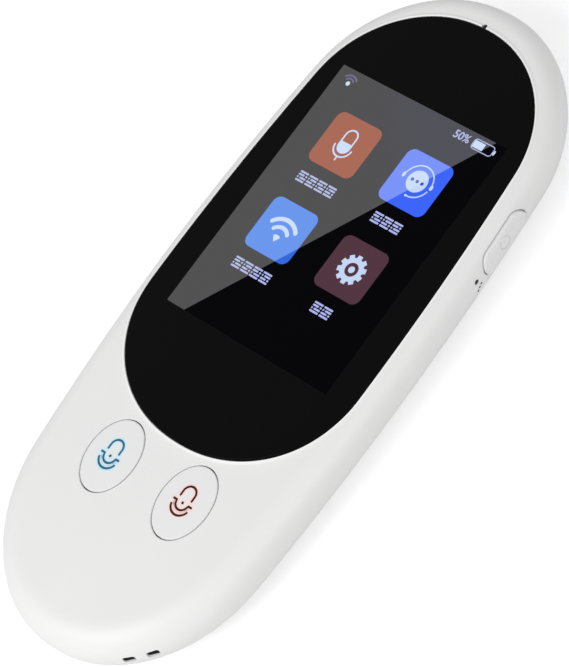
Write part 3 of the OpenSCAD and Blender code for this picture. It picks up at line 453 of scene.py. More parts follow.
def half_at(y):
    right = body_line[:len(body_line) // 2 + 1]
    return float(np.interp(-y, -right[:, 1], right[:, 0]))


lanyard = Vector((half_at(lanyard_y), lanyard_y, widest(lanyard_y) + slot_up))
lanyard_turn = math.atan(half_at(lanyard_y - 0.5) - half_at(lanyard_y + 0.5))


def at_lanyard(name, deep, out, span, high, along=0.0, corner=0.0):
    """A block beside the lanyard bar, from some depth to some way out of the side wall."""
    piece = block(name, (-deep, along - span / 2, -high / 2), (out, along + span / 2, high / 2))
    if corner:
        bpy.ops.object.mode_set(mode="EDIT")
        shape = bmesh.from_edit_mesh(piece.data)
        for edge in shape.edges:
            edge.select = abs(edge.verts[0].co.x - edge.verts[1].co.x) > 0.1 * mm
        bmesh.update_edit_mesh(piece.data)
        bpy.ops.mesh.bevel(offset=corner * mm, segments=6)
        bpy.ops.object.mode_set(mode="OBJECT")
    piece.data.transform(Matrix.Translation(lanyard * mm) @ Matrix.Rotation(lanyard_turn, 4, "Z"))
    return piece


outer = [skin(0, cut_angle(0, seam_height), seam_chamfer)]
outer += [skin(0, cut_angle(0, seam_height + seam_chamfer) * share)
          for share in np.linspace(1, 0, 9)]
outer += [skin(0, angle) for angle in np.linspace(0, 60, 13)[1:]]
outer += between(outer[-1], offset(glass_line, lip[0][0]), steps=26, depth=0, lean=2.0)
for out, height in lip[1:]:
    plan = offset(glass_line, out)
    outer.append(level(plan, skin_height(plan) + height))
outer.append(level(offset(glass_line, glass_gap), floor_high))
window_middle = [0, (window_low + window_high) / 2]
reach = glass_line - window_middle
shrink = np.minimum(window_x / np.maximum(np.abs(reach[:, 0]), 1e-9),
                    (window_high - window_low) / 2 / np.maximum(np.abs(reach[:, 1]), 1e-9))
window = reach * shrink[:, None] + window_middle
inner = [skin(wall, cut_angle(wall, seam_height) * share) for share in np.linspace(1, 0, 5)]
inner += [skin(wall, angle) for angle in (10, 20, 30)]
inner += between(inner[-1], offset(glass_line, floor_reach), steps=10, depth=wall, lean=1.6)
floor = [level(window, floor_high), level(window, floor_low),
         level(offset(glass_line, floor_reach - floor_lean), floor_low)]
front_shell = loft("front_shell", outer + floor + inner[::-1] + outer[:1], closed=True)

pad = block("pad", (seat_x, pad_y[0], pad_z[0]), (half_width, pad_y[1], pad_z[1]))
carve(pad, pod(wall / 3), "INTERSECT")
carve(front_shell, pad, "UNION")
anchor = at_lanyard("anchor", bar + tunnel + lanyard_wall, beyond,
                    slot_pitch + slot_long + 2 * lanyard_wall, slot_high + 2 * lanyard_wall)
carve(anchor, pod(wall / 3), "INTERSECT")
carve(front_shell, anchor, "UNION")

holes = []
for x, y in talk_places:
    line = oval((x, y), talk_width + 2 * talk_gap, talk_length + 2 * talk_gap)
    wide = oval((x, y), talk_width + 2 * (talk_gap + mouth), talk_length + 2 * (talk_gap + mouth))
    top = face_height(line[:, 1])
    holes.append(loft("talk_hole", [level(line, hole_bottom), level(line, top - mouth),
                                    level(wide, top + above_skin), level(wide, hole_top)]))
line = pill((power_y, power_z), power_long + 2 * talk_gap, power_high + 2 * talk_gap)
wide = pill((power_y, power_z), power_long + 2 * (talk_gap + mouth),
            power_high + 2 * (talk_gap + mouth))
holes.append(loft("power_hole", [along_x(line, bore_start), along_x(line, side_x(line) - mouth),
                                 along_x(wide, side_x(wide) + above_skin),
                                 along_x(wide, side_x(wide) + beyond)]))
for middle, radius in [((sound_y, sound_z), sound_hole)] + [(p, pinhole) for p in pinholes]:
    line = disc(middle, radius)
    holes.append(loft("sound_hole", [along_x(line, bore_start), along_x(line, half_width + 1)]))
line = disc((0, top_hole_y), sound_hole, 32)
holes.append(loft("top_hole", [level(line, hole_bottom), level(line, hole_top)]))
line = pill((0, socket_z), socket_wide, socket_high)
holes.append(loft("socket_hole", [np.insert(line, 1, y, 1) for y in socket_y]))
for side in (-1, 1):
    holes.append(at_lanyard("slot", bar + tunnel, beyond, slot_long, slot_high,
                            side * slot_pitch / 2, slot_round))
carve(front_shell, join("holes", *holes))
carve(front_shell, at_lanyard("tunnel", bar + tunnel, -bar, slot_pitch + slot_long, slot_high))


white_shell = satin_plastic("white_shell", (240, 240, 239), (236, 236, 236), 0.42)
dress(front_shell, white_shell, "housing", "shell", "front_housing")

# The crest of the lip, glossier than the shell and painted a brighter white: a painted highlight
# that draws a thin bright line round the glass
crest = [(0.4, 0.09), (0.42, 0.152), (0.35, 0.178), (0.28, 0.188), (0.2, 0.168), (0.12, 0.085),
         (0.13, 0.0)]
crest_rings = []
for out, height in crest:
    plan = offset(glass_line, out)
    crest_rings.append(level(plan, skin_height(plan) + height))
glass_rim = loft("glass_rim", crest_rings + crest_rings[:1], closed=True)
notch = disc((0, top_hole_y), sound_hole, 32)
carve(glass_rim, loft("notch", [level(notch, hole_bottom), level(notch, hole_top)]))
# Near-white colour of the crest, brighter than the shell: the painted highlight
dress(glass_rim, satin_plastic("lip_painted_highlight", (254, 254, 254), (251, 251, 251), 0.2, 4.0, 0.001),
      "housing", "shell", angle=50)


# ---- Linings of the small holes -----------------------------------------------------
# Black rubber noses of the two microphone boots fill their holes to just under the
# surface, so that the dark of the real boots also stands in for the shade deep in the
# holes: partly painted shade. A black lining behind the lanyard bar lines the tunnel
# round it: painted shade, a dark sheet where the white tunnel lies in shadow.
clear, dish, dish_share = 0.02, 0.1, 0.6
nose_start, top_nose_start = seat_x + 0.1, floor_high - 0.8
sound_sink, pinhole_sink, top_sink, glass_clear = 0.22, 0.06, 0.2, 0.03
# Dark rubber of the boots, also used as painted shade in the holes and the lanyard tunnel
dark_rubber_and_shade = rubber("dark_rubber_and_shade", (40, 40, 42), (30, 30, 32))
noses = []
for middle, radius, sink in [((sound_y, sound_z), sound_hole, sound_sink)] + [
        (place, pinhole, pinhole_sink) for place in pinholes]:
    line, small = disc(middle, radius - clear), disc(middle, dish_share * radius)
    face = float(side_x(np.array([middle]))[0]) - sink
    noses.append(loft("nose", [along_x(line, nose_start), along_x(line, face),
                               along_x(small, face), along_x(small, face - dish)]))
dress(join("side_nose", *noses), dark_rubber_and_shade, "housing", "boot")

line = disc((0, top_hole_y), sound_hole - clear, 32)
line[:, 1] = np.maximum(line[:, 1], glass_high + glass_clear)
small = (line - line.mean(0)) * dish_share + line.mean(0)
nose_top = front_face - top_sink
dress(loft("top_nose", [level(line, top_nose_start), level(line, nose_top),
                        level(small, nose_top), level(small, nose_top - dish)]),
      dark_rubber_and_shade, "housing", "boot")

# The lanyard lining is painted shade: a dark sheet where the tunnel round the bar lies in shadow
lining_thick, lining_in, leg_in, leg_hollow_in = 0.12, 0.42, 0.5, 0.6
deepest = bar + tunnel - clear
lining_high, hollow_high = slot_high - 2 * clear, slot_high - 2 * (clear + lining_thick)
lining_long, leg_long = slot_pitch + slot_long - 2 * clear, slot_long - 2 * clear
shade_lining = at_lanyard("lanyard_shade_lining", deepest, -bar - clear, lining_long, lining_high)
hollows = [at_lanyard("hollow", deepest - lining_thick, -bar - clear - lining_thick,
                      lining_long - 2 * lining_thick, hollow_high)]
for side in (-1, 1):
    along = side * slot_pitch / 2
    carve(shade_lining, at_lanyard("leg", bar + leg_in, -lining_in, leg_long, lining_high, along,
                             slot_round), "UNION")
    hollows.append(at_lanyard("hollow", bar + leg_hollow_in, 1, leg_long - 2 * lining_thick,
                              hollow_high, along, slot_round - lining_thick))
for hollow in hollows:
    carve(shade_lining, hollow)
dress(shade_lining, dark_rubber_and_shade, "housing", "boot")


# ---- Rear cover ---------------------------------------------------------------------
# The flat white back and its wide rounding, one moulding that snaps into the front
# housing by a thin lip. Rows of holes over the speaker are moulded through it.
lip_gap, lip_thick, lip_high = 0.1, 1.2, 1.6
speaker_y, grille_pitch, grille_hole = -50.1, 1.8, 0.55
flare_out, flare_deep = 0.15, 0.15
lip_in, ledge = wall + lip_gap, seam_height - 0.8
cover_rings = [skin(wall, angle) for angle in (-90, -75)]
cover_rings += [skin(wall, cut_angle(wall, ledge)),
                skin(lip_in, cut_angle(lip_in, ledge), lip_thick),
                skin(lip_in, cut_angle(lip_in, seam_height + lip_high), lip_thick),
                skin(lip_in, cut_angle(lip_in, seam_height + lip_high)),
                skin(lip_in, cut_angle(lip_in, seam_height)),
                skin(0, cut_angle(0, seam_height), seam_chamfer)]
start = cut_angle(0, seam_height - seam_chamfer)
cover_rings += [skin(0, start + (-90 - start) * share) for share in np.linspace(0, 1, 17)]
rear_shell = loft("rear_shell", cover_rings)
grille = []
for row in (-1, 0, 1):
    for column in range(-3, 4):
        middle = (column * grille_pitch, speaker_y + row * grille_pitch)
        hole, flare = disc(middle, grille_hole), disc(middle, grille_hole + flare_out)
        grille.append(loft("grille_hole", [level(hole, 2 * wall), level(hole, flare_deep),
                                           level(flare, 0), level(flare, -1)]))
carve(rear_shell, join("grille", *grille))
dress(rear_shell, white_shell, "housing", "shell", "rear_cover")


# ---- Cover glass --------------------------------------------------------------------
# A slab of polished glass, printed black on its back and rounded along its edge. Tape
# holds it in the recess of the front housing, a little proud of the white lip.
glass_bottom, glass_top, glass_edge = 10.8, 11.88, 0.25
turns = np.radians(np.linspace(0, 90, 7))
glass_rings = [level(glass_line, glass_bottom)]
glass_rings += [level(offset(glass_line, -glass_edge * (1 - math.cos(turn))),
                      glass_top - glass_edge * (1 - math.sin(turn))) for turn in turns]
glass = loft("glass", glass_rings)


def glass_black(name):
    """Black glass with faint, slow smears of gloss."""
    finish = Finish(name)
    place = finish.place()
    smears = finish.noise(place, 0.12, 4.0)
    return finish.surface({
        "Base Color": finish.mix(smears, paint(10, 10, 10), paint(12, 12, 12)),
        "Roughness": 0.05 + 0.05 * smears, "Specular IOR Level": 0.025, "IOR": 1.5,
        "Normal": finish.bump(finish.noise(place, 0.05), 0.002)})


dress(glass, glass_black("glass_black"), "housing", "cover_glass", "cover_glass", angle=40)


# ---- Display picture ----------------------------------------------------------------
# The lit picture that shows through the glass: a black ground with a painted reflection,
# a pale glare painted over one corner, four rounded tiles with their signs, short bars
# under them and a status row. It lies in the top of the glass as very thin plates that
# give their own light.
picture_wide, picture_long = 36.72, 48.96
# The painted reflection, a pale glare painted over the picture, covers what lies up and left of
# this line
painted_reflection_edge = [(15.9, picture_long / 2), (-14.3, -picture_long / 2)]
# Where the bluish tint of the painted reflection begins, and how fast it grows to the right and
# upwards
tint_x, tint_y, tint_right, tint_up = -12.0, 8.0, 0.06, 0.09
# Heights of the thin plates, each on or a little into the one below it
ground_floor, ground_top = 11.879, 11.885
tile_floor, tile_top = 11.885, 11.8905
sign_floor, sign_top = 11.89, 11.896
mark_floor, mark_top, dot_floor, dot_top = 11.8955, 11.8975, 11.897, 11.8985
tile_side, tile_round = 10.0, 1.45
light_speckle = 0.03


def at_picture(x, y):
    return np.array([x, picture_middle + y])


def lit(name, plain, under_painted_reflection, reflection_tint=None):
    """Light of the display, in one colour beside the painted reflection and another under it, where
    a pale glare is painted in as colour.
    """
    finish = Finish(name)
    place = finish.place((0, picture_middle, 0))
    x = finish.node("ShaderNodeSeparateXYZ", {}, {"Vector": place}, "X")
    y = Number(finish, x.socket.node.outputs["Y"])
    (x1, y1), (x2, y2) = painted_reflection_edge
    # Painted reflection: a half-plane over the upper left of the picture, where colours turn
    # lighter
    reflection_mask = (x - x1) * (y2 - y1) - (y - y1) * (x2 - x1) > 0.0
    dots = finish.noise(place, 4.0)
    reflection_colour = paint(*under_painted_reflection)
    if reflection_tint:
        along, up = (x - tint_x) * tint_right, (y - tint_y) * tint_up
        share = along.math("MINIMUM", along, 1.0)
        share = share.math("MAXIMUM", share, 0.0) * up.math("MAXIMUM", up, 0.0)
        reflection_colour = finish.mix(share.math("MINIMUM", share, 1.0), reflection_colour, paint(*reflection_tint))
    base = finish.mix(reflection_mask, paint(*plain), reflection_colour)
    dim, dim_reflection_colour = ([c * (1 - light_speckle) for c in paint(*colour)[:3]] + [1.0]
                      for colour in (plain, under_painted_reflection))
    return finish.surface({
        "Base Color": paint(0, 0, 0), "Roughness": 0.06 + 0.02 * dots, "Specular IOR Level": 0.025,
        "Emission Color": finish.mix(dots, base, finish.mix(reflection_mask, dim, dim_reflection_colour)),
        "Emission Strength": 1.0})


ground = plate("display_ground", rounded(at_picture(0, 0), picture_wide, picture_long, 0.1, 3),
               ground_floor, ground_top)
dress(ground, lit("ground_light", (0, 0, 2), (82, 82, 83), reflection_tint=(82, 82, 96)), "housing",
      "display")

# Each tile's middle, its colour and its lighter colour under the painted reflection
tile_colours = {
    "talk_tile": ((-8.1, 12.5), (152, 80, 58), (171, 107, 88)),
    "assistant_tile": ((7.9, 12.5), (60, 101, 252), (123, 149, 252)),
    "network_tile": ((-8.1, -5.05), (52, 104, 224), (107, 152, 238)),
    "settings_tile": ((7.9, -5.05), (82, 53, 64), (104, 84, 94)),
}
for name, (middle, plain, under_painted_reflection) in tile_colours.items():
    tile = plate(name, rounded(at_picture(*middle), tile_side, tile_side, tile_round),
                 tile_floor, tile_top)
    dress(tile, lit(name + "_light", plain, under_painted_reflection), "housing", "display")

sign_light = lit("sign_light", (198, 216, 247), (208, 225, 252))


def signs(name, outlines, material=sign_light, low=sign_floor, high=sign_top):
    parts = [plate(name, outline, low, high) for outline in outlines]
    return dress(join(name, *parts), material, "housing", "display")


# Talk sign: a pill, filled below its middle, in a cradle with a short foot
cx, cy = at_picture(-8.1, 12.75)
head, filled, cradle, thin = 1.2, 1.35, 1.85, 0.3
signs("talk_sign", [
    stroke(np.vstack([[cx - head, cy + 0.1], arc((cx, cy + 1.4), head, 180, 0),
                      [cx + head, cy + 0.1]]), thin),
    np.vstack([[cx - filled, cy + 0.2], [cx + filled, cy + 0.2],
               arc((cx, cy - 0.55), filled, 0, -180, 16)]),
    stroke(arc((cx, cy - 0.7), cradle, -4, -176), thin),
    stroke([(cx, cy - 2.65), (cx, cy - 3.25)], thin)])

# Assistant sign: a disc with three dots in it, between two arcs
cx, cy = at_picture(7.95, 12.8)
face, orbit = 2.0, 2.9
signs("assistant_sign", [
    disc((cx, cy), face, 48), oval((cx + 3.0, cy + 0.1), 0.62, 1.0, 20),
    oval((cx - 3.0, cy + 0.1), 0.62, 1.0, 20), stroke(arc((cx, cy), orbit, 168, 12, 40), 0.24),
    stroke(arc((cx, cy), orbit, -16, -92), 0.24), oval((cx - 0.25, cy - orbit), 0.6, 0.42, 16)])
dot_light = lit("dot_light", (52, 84, 200), (96, 122, 190))
signs("assistant_dots", [disc((cx + x, cy), 0.31) for x in (-1.05, 0, 1.05)],
      dot_light, mark_floor, dot_top)

# Network sign: two arcs over a wedge
cx, cy = at_picture(-8.1, -7.4)
signs("network_sign", [
    stroke(arc((cx, cy + 0.72), 3.53, 140, 40), 0.78),
    stroke(arc((cx, cy + 0.72), 2.05, 140, 40), 0.72),
    np.vstack([[cx, cy], arc((cx, cy + 0.3), 1.05, 135, 45, 12)])])

# Settings sign: a wheel with ten teeth and an open middle with a dot
cx, cy = at_picture(7.95, -5.05)
tooth_root, tooth_tip = 2.15, 2.72
teeth = []
for tooth in range(10):
    for step, radius in ((-13, tooth_root), (-9, tooth_tip), (9, tooth_tip), (13, tooth_root)):
        turn = math.radians(90 - tooth * 36 - step)
        teeth.append((cx + radius * math.cos(turn), cy + radius * math.sin(turn)))
signs("settings_sign", [np.array(teeth)])
hub_light = lit("hub_light", (82, 53, 64), (104, 84, 94))
signs("settings_hub", [disc((cx, cy), 1.25, 40)], hub_light, mark_floor, mark_top)
signs("settings_dot", [disc((cx, cy), 0.6, 32)], sign_light, dot_floor, dot_top)

# Labels of short bars under the tiles. Each row of a block says how far up a bar lies and
# between which shares of the block's width it runs.
bar_pitch, block_wide, bar_high, bar_indent = 2.13, 1.85, 0.34, 0.14
bar_rows = ((0.8, 0.0, 1.0), (0.27, 0.3, 1.0), (0.27, 0.0, 0.16), (-0.27, 0.0, 0.66),
            (-0.27, 0.8, 1.0), (-0.8, 0.0, 1.0))
bars = []
for (x, y), count in (((-8.1, 4.4), 4), ((7.95, 4.4), 3), ((-8.1, -13.25), 4),
                      ((7.95, -13.25), 2)):
    for step in range(count):
        start = x + (step - count / 2) * bar_pitch + bar_indent
        flip = 1 if step % 2 else -1
        for up, first, last in bar_rows:
            middle = start + (first + last) / 2 * block_wide
            bars.append(rounded(at_picture(middle, y + flip * up), (last - first) * block_wide,
                                bar_high, 0.1, 3))
label_light = lit("label_light", (176, 184, 240), (186, 192, 232))
signs("label_bars", bars, label_light)

# Status row: a small network sign, a charge in plain numbers and a half-full battery
cx, cy = at_picture(-15.35, 21.9)
signs("status_dot", [disc((cx, cy), 0.41, 20)])
dim_light = lit("dim_light", (96, 94, 140), (120, 115, 148))
signs("status_arcs", [stroke(arc((cx, cy - 0.05), radius, 140, 40), 0.3)
                      for radius in (1.0, 1.6)], dim_light)
cx, cy = at_picture(14.35, 22.8)
case = rounded((cx, cy), 4.25, 1.8, 0.5, 6)
signs("battery_frame", [stroke(np.vstack([case, case[:1]]), 0.16)], label_light)
signs("battery_charge", [rounded((cx - 0.9, cy), 2.2, 1.3, 0.1, 3),
                         oval((cx + 2.4, cy), 0.42, 0.9, 16)])
bpy.ops.object.text_add(location=(0, 0, 0))
charge = bpy.context.object
letter_high, letter_bold, half_thick = 2.0, 0.035, (sign_top - sign_floor) / 2
charge.data.body, charge.data.size, charge.data.extrude = "50%", letter_high * mm, half_thick * mm
charge.data.offset = letter_bold * mm
charge.data.align_x, charge.data.align_y = "CENTER", "CENTER"
charge.location = (*at_picture(9.75, 22.8) * mm, (sign_floor + half_thick) * mm)
charge.name = "charge_number"
bpy.ops.object.convert(target="MESH")
bpy.ops.object.transform_apply(location=True, rotation=True, scale=True)
dress(charge, label_light, "housing", "display")


# ---- Talk buttons -------------------------------------------------------------------
# Two oval caps of the housing's white plastic, flush with the front face. A flange
# under each keeps it in its hole, and a stem presses its switch. A dark rubber ring in
# the gap round each is painted shade, darkening the gap where its shadow falls. The
# microphone signs are printed in blue and red with pale rims.
flange_out, flange_low, flange_high, stem_low, stem = 0.5, 9.37, 9.97, 8.77, 1.5
cap_bevel = 0.14
white_key = satin_plastic("white_key", (239, 239, 239), (236, 236, 237), 0.4)


def talk_cap(name, middle):
    line = oval(middle, talk_width, talk_length)
    wide = oval(middle, talk_width + 2 * flange_out, talk_length + 2 * flange_out)
    post = disc(middle, stem, 96)
    top = face_height(line[:, 1])
    rings = [level(post, stem_low), level(post, flange_low), level(wide, flange_low),
             level(wide, flange_high), level(line, flange_high), level(line, top - cap_bevel)]
    for turn in np.radians((22.5, 45, 67.5, 90)):
        small = oval(middle, talk_width - 2 * cap_bevel * (1 - math.cos(turn)),
                     talk_length - 2 * cap_bevel * (1 - math.cos(turn)))
        rings.append(level(small, face_height(small[:, 1]) - cap_bevel * (1 - math.sin(turn))))
    for share in (0.92, 0.75, 0.5, 0.25):
        small = oval(middle, talk_width * share, talk_length * share)
        rings.append(level(small, face_height(small[:, 1])))
    return loft(name, rings)


def talk_sign_lines(middle, grow=0.0):
    """The microphone sign: its head, its cradle and an arc below, each grown all round."""
    x, y = middle
    thin = 0.4 + 2 * grow
    head, cradle, sound = 1.27, 1.26, 1.91
    return [
        stroke(np.vstack([[x - head, y + 0.95], arc((x, y + 1.75), head, 180, 0),
                          [x + head, y + 0.95]]), thin),
        stroke(np.vstack([[x - 1.95, y], [x - head, y], arc((x, y), cradle, 188, 352),
                          [x + head, y], [x + 1.95, y]]), thin),
        stroke(arc((x, y - 0.31), sound, 201, 339), thin)]


def on_face(name, line, above):
    """A print's plate, from just inside the button's face to a little above it."""
    face = face_height(line[:, 1])
    return plate(name, line, face - ink_deep, face + above)


def printed(name, ink, edge_ink):
    """Ink on plastic, with a little speckle."""
    finish = Finish(name)
    speckle = finish.noise(finish.place(), 9.0, 3.0)
    return finish.surface({
        "Base Color": finish.mix(speckle, paint(*ink), paint(*edge_ink)),
        "Roughness": 0.35 + 0.1 * speckle, "Specular IOR Level": 0.15,
        "Normal": finish.bump(speckle, 0.002)})


talk_finishes = (
    ("left", talk_places[0], printed("blue_ink", (42, 100, 134), (54, 112, 144)),
     printed("blue_rim", (206, 238, 250), (214, 242, 252)),
     printed("blue_dot_ink", (50, 78, 92), (60, 88, 100))),
    ("right", talk_places[1], printed("red_ink", (66, 4, 8), (80, 12, 14)),
     printed("red_rim", (252, 224, 218), (252, 230, 226)),
     printed("dark_dot_ink", (12, 8, 8), (22, 14, 14))))
sign_shift, dot, rim = (-0.2, -0.2), 0.25, 0.3
ink_deep, rim_above, ink_above = 0.01, 0.004, 0.008
seal_gap, seal_deep = 0.03, 0.6
# Grey rubber rings in the button gaps: painted shade for the shadow down each gap
seal_shade_rubber = rubber("seal_shade_rubber", (74, 74, 76), (62, 62, 64))
for side, middle, ink, rim_ink, dot_ink in talk_finishes:
    body = side + "_talk_button"
    dress(talk_cap(side + "_cap", middle), white_key, body, "key_white", side + "_button")
    inner_line = oval(middle, talk_width + 2 * seal_gap, talk_length + 2 * seal_gap)
    outer_line = oval(middle, talk_width + 2 * (talk_gap - seal_gap),
                      talk_length + 2 * (talk_gap - seal_gap))
    seal_top = face_height(inner_line[:, 1]) - seal_deep
    seal_rings = [level(inner_line, flange_high + seal_gap), level(inner_line, seal_top),
                  level(outer_line, seal_top), level(outer_line, flange_high + seal_gap)]
    dress(loft(side + "_seal", seal_rings + seal_rings[:1], closed=True), seal_shade_rubber, body,
          "boot")
    place = np.array(middle) + sign_shift
    for name, lines, above, material in (
            ("_rim", [*talk_sign_lines(place, rim), disc(place, dot + rim)], rim_above, rim_ink),
            ("_sign", talk_sign_lines(place), ink_above, ink),
            ("_dot", [disc(place, dot)], ink_above, dot_ink)):
        parts = [on_face(side + name, line, above) for line in lines]
        dress(join(side + name, *parts), material, body, "key_white")


# ---- Power button -------------------------------------------------------------------
# A pill-shaped key of the same white plastic in the right side wall, a little proud of
# it and bellied like the wall. A flange keeps it in, and a nub presses its switch. The
# power sign is printed on it in a faint grey.
power_flange_x, power_flange_thick, power_flange_out = 22.66, 0.6, (1, 0.95)
nub_low_x, nub_z, nub = 21.01, 7.0, 0.65
power_bevel = 0.2


def power_ring(inset, sink=0.0):
    outline = pill((power_y, power_z), power_long - 2 * inset, power_high - 2 * inset)
    return along_x(outline, side_x(outline, power_stands_out) - sink)


flange = pill((power_y, power_z), power_long + power_flange_out[0],
              power_high + power_flange_out[1])
edge_line = pill((power_y, power_z), power_long, power_high)
# The nub's outline starts where a pill's does and has as many points
nub_line = arc((power_y, nub_z), nub, 90, 360 / len(edge_line) - 270, len(edge_line))
power_rings = [along_x(nub_line, nub_low_x), along_x(nub_line, power_flange_x),
               along_x(flange, power_flange_x),
               along_x(flange, power_flange_x + power_flange_thick),
               along_x(edge_line, power_flange_x + power_flange_thick)]
for turn in np.radians(np.linspace(0, 90, 6)):
    power_rings.append(power_ring(power_bevel * (1 - math.cos(turn)),
                                  power_bevel * (1 - math.sin(turn))))
power_rings += [power_ring(inset) for inset in (0.5, 0.9, 1.3, 1.7, 2.0, 2.25, 2.33)]
power_cap = loft("power_cap", power_rings)
dress(power_cap, white_key, "power_key", "key_white", "power_button")


def power_mark(name, points, width=0.26, depth=0.03, above=0.01):
    """A stroke of the power sign, laid on the key's bellied face."""
    outline = stroke(points, width)
    face = side_x(outline, power_stands_out)
    return loft(name, [along_x(outline, face - depth), along_x(outline, face + above)])


sign_y, sign_z, sign_radius, dash_low, dash_high = 29.4, 7.9, 1.15, 0.3, 1.45
marks = [power_mark("power_mark", arc((sign_y, sign_z), sign_radius, 60, -240)),
         power_mark("power_mark", [(sign_y, sign_z + dash_low), (sign_y, sign_z + dash_high)])]
power_grey = satin_plastic("power_grey", (222, 222, 222), (216, 216, 216), 0.5)
dress(join("power_sign", *marks), power_grey, "power_key", "key_white")


# ---- Metal parts --------------------------------------------------------------------
# Stamped and drawn sheet: the socket's plated shell, the steel display tray, shield
# can, switch bodies and screws, and the bracket of milled aluminium. Each has the fine
# drawn lines or the slightly mottled plating of the real sheet.
def dress_nodes(slot_name, material):
    """Gives a material to the nodes that the record lists under a slot."""
    for part in frame["record"]["subparts"]:
        shown = frame["nodes"][part["node"]]
        if part["material_slot"] == slot_name and not shown.hide_render:
            shown.data.materials.clear()
            shown.data.materials.append(material)


def drawn_metal(name, light, dark, roughness, stretch, depth):
    finish = Finish(name)
    lines = finish.noise(finish.place(scale=stretch), 5.0, 4.0)
    stain = finish.noise(finish.place(), 0.25)
    return finish.surface({
        "Base Color": finish.mix(stain, paint(*dark), paint(*light)), "Metallic": 1.0,
        "Roughness": roughness + 0.12 * (lines - 0.5) + 0.1 * (stain - 0.5),
        "Normal": finish.bump(lines, depth)})


for slot_name, *look in (
        ("steel", "drawn_steel", (202, 203, 206), (188, 189, 193), 0.34, (1, 0.05, 1), 0.003),
        ("plated", "nickel_plate", (214, 212, 206), (200, 198, 192), 0.2, (1, 1, 1), 0.001),
        ("bracket", "milled_aluminium", (186, 188, 192), (172, 174, 178), 0.42, (0.05, 1, 1),
         0.004),
        ("copper", "etched_copper", (214, 150, 92), (196, 128, 74), 0.3, (1, 1, 1), 0.001)):
    dress_nodes(slot_name, drawn_metal(*look))


# ---- Boards and ribbons -------------------------------------------------------------
# The main board and key board are glass-fibre laminate under green lacquer, with faint
# copper tracks. The ribbons are amber film with copper lines that run along them.
def lacquered_board():
    finish = Finish("green_board")
    place = finish.place()
    tracks = finish.node("ShaderNodeTexVoronoi", {"distance": "MANHATTAN"}, {
        "Vector": place, "Scale": 0.6}, "Distance")
    track = tracks > 0.42
    weave = finish.noise(place, 3.0)
    lacquer = finish.mix(weave, paint(12, 78, 44), paint(18, 92, 52))
    return finish.surface({
        "Base Color": finish.mix(track, lacquer, paint(40, 122, 66)),
        "Roughness": 0.3 + 0.1 * weave, "Normal": finish.bump(track + 0.3 * weave, 0.02)})


def ribbon_film():
    finish = Finish("amber_ribbon")
    lines = finish.node("ShaderNodeTexWave", {"bands_direction": "X"}, {
        "Vector": finish.place(), "Scale": 0.6}, "Fac")
    line = lines > 0.5
    haze = finish.noise(finish.place(), 1.5)
    film = finish.mix(haze, paint(196, 112, 28), paint(212, 130, 40))
    return finish.surface({
        "Base Color": finish.mix(line, film, paint(150, 78, 26)),
        "Roughness": 0.28 + 0.12 * haze, "Normal": finish.bump(line, 0.01)})


dress_nodes("board", lacquered_board())
dress_nodes("ribbon", ribbon_film())


# ---- Moulded and rubber parts -------------------------------------------------------
# Chips, connectors, switch plungers, the speaker's frame, the microphones' rubber
# boots, the foam, the tapes and the insulated wires, each in its own moulded finish.
def moulded(name, light, dark, roughness, grain, depth):
    finish = Finish(name)
    place = finish.place()
    slow, fine = finish.noise(place, 0.3), finish.noise(place, grain, 4.0)
    return finish.surface({
        "Base Color": finish.mix(0.5 * slow + 0.5 * fine, paint(*dark), paint(*light)),
        "Roughness": roughness + 0.15 * (fine - 0.5), "Normal": finish.bump(fine, depth)})


for slot_name, *look in (
        ("chip", "chip_resin", (52, 52, 54), (38, 38, 40), 0.6, 6.0, 0.01),
        ("connector", "connector_nylon", (226, 220, 200), (212, 206, 186), 0.5, 3.0, 0.005),
        ("plunger", "plunger_plastic", (72, 72, 74), (58, 58, 60), 0.45, 5.0, 0.004),
        ("boot", "boot_rubber", (46, 46, 48), (34, 34, 36), 0.75, 4.0, 0.01),
        ("black_plastic", "black_moulding", (44, 44, 46), (32, 32, 34), 0.45, 5.0, 0.005),
        ("foam", "open_foam", (70, 70, 72), (40, 40, 42), 0.9, 2.0, 0.12),
        ("adhesive", "tape_film", (50, 50, 52), (38, 38, 40), 0.5, 1.5, 0.01),
        ("wire", "wire_jacket", (176, 42, 34), (160, 32, 28), 0.4, 3.0, 0.004),
        ("diffuser", "light_guide", (240, 240, 238), (230, 230, 228), 0.4, 1.0, 0.002),
        ("display", "panel_glass", (22, 26, 36), (16, 18, 28), 0.12, 1.0, 0.001)):
    dress_nodes(slot_name, moulded(*look))


# ---- Battery and speaker mesh -------------------------------------------------------
# The battery is a flat pouch of crinkled foil. Behind the speaker's holes lies a woven
# steel mesh that keeps dust out.
def foil_pouch():
    finish = Finish("foil_pouch")
    creases = finish.noise(finish.place(scale=(1, 0.4, 1)), 0.5, 6.0)
    return finish.surface({
        "Base Color": finish.mix(creases, paint(196, 198, 202), paint(216, 218, 222)),
        "Metallic": 0.8, "Roughness": 0.35 + 0.2 * creases, "Normal": finish.bump(creases, 0.15)})


def woven_mesh():
    finish = Finish("woven_mesh")
    place = finish.place()
    across, along = (finish.node("ShaderNodeTexWave", {"bands_direction": axis}, {
        "Vector": place, "Scale": 1.1}, "Fac") for axis in "XY")
    wires = across.math("MAXIMUM", across, along)
    return finish.surface({
        "Base Color": finish.mix(wires, paint(18, 18, 20), paint(120, 120, 124)),
        "Metallic": 0.9, "Roughness": 0.45 + 0.1 * wires, "Normal": finish.bump(wires, 0.06)})


dress_nodes("cell", foil_pouch())
dress_nodes("mesh", woven_mesh())


# ---- Studio -------------------------------------------------------------------------
# A plain white floor under soft light from large lamps, and the camera: a long lens
# above the device's right side, rolled so that the device stands slantwise.
white, floor_glow, air_fill = (1, 1, 1, 1), 0.36, 0.53


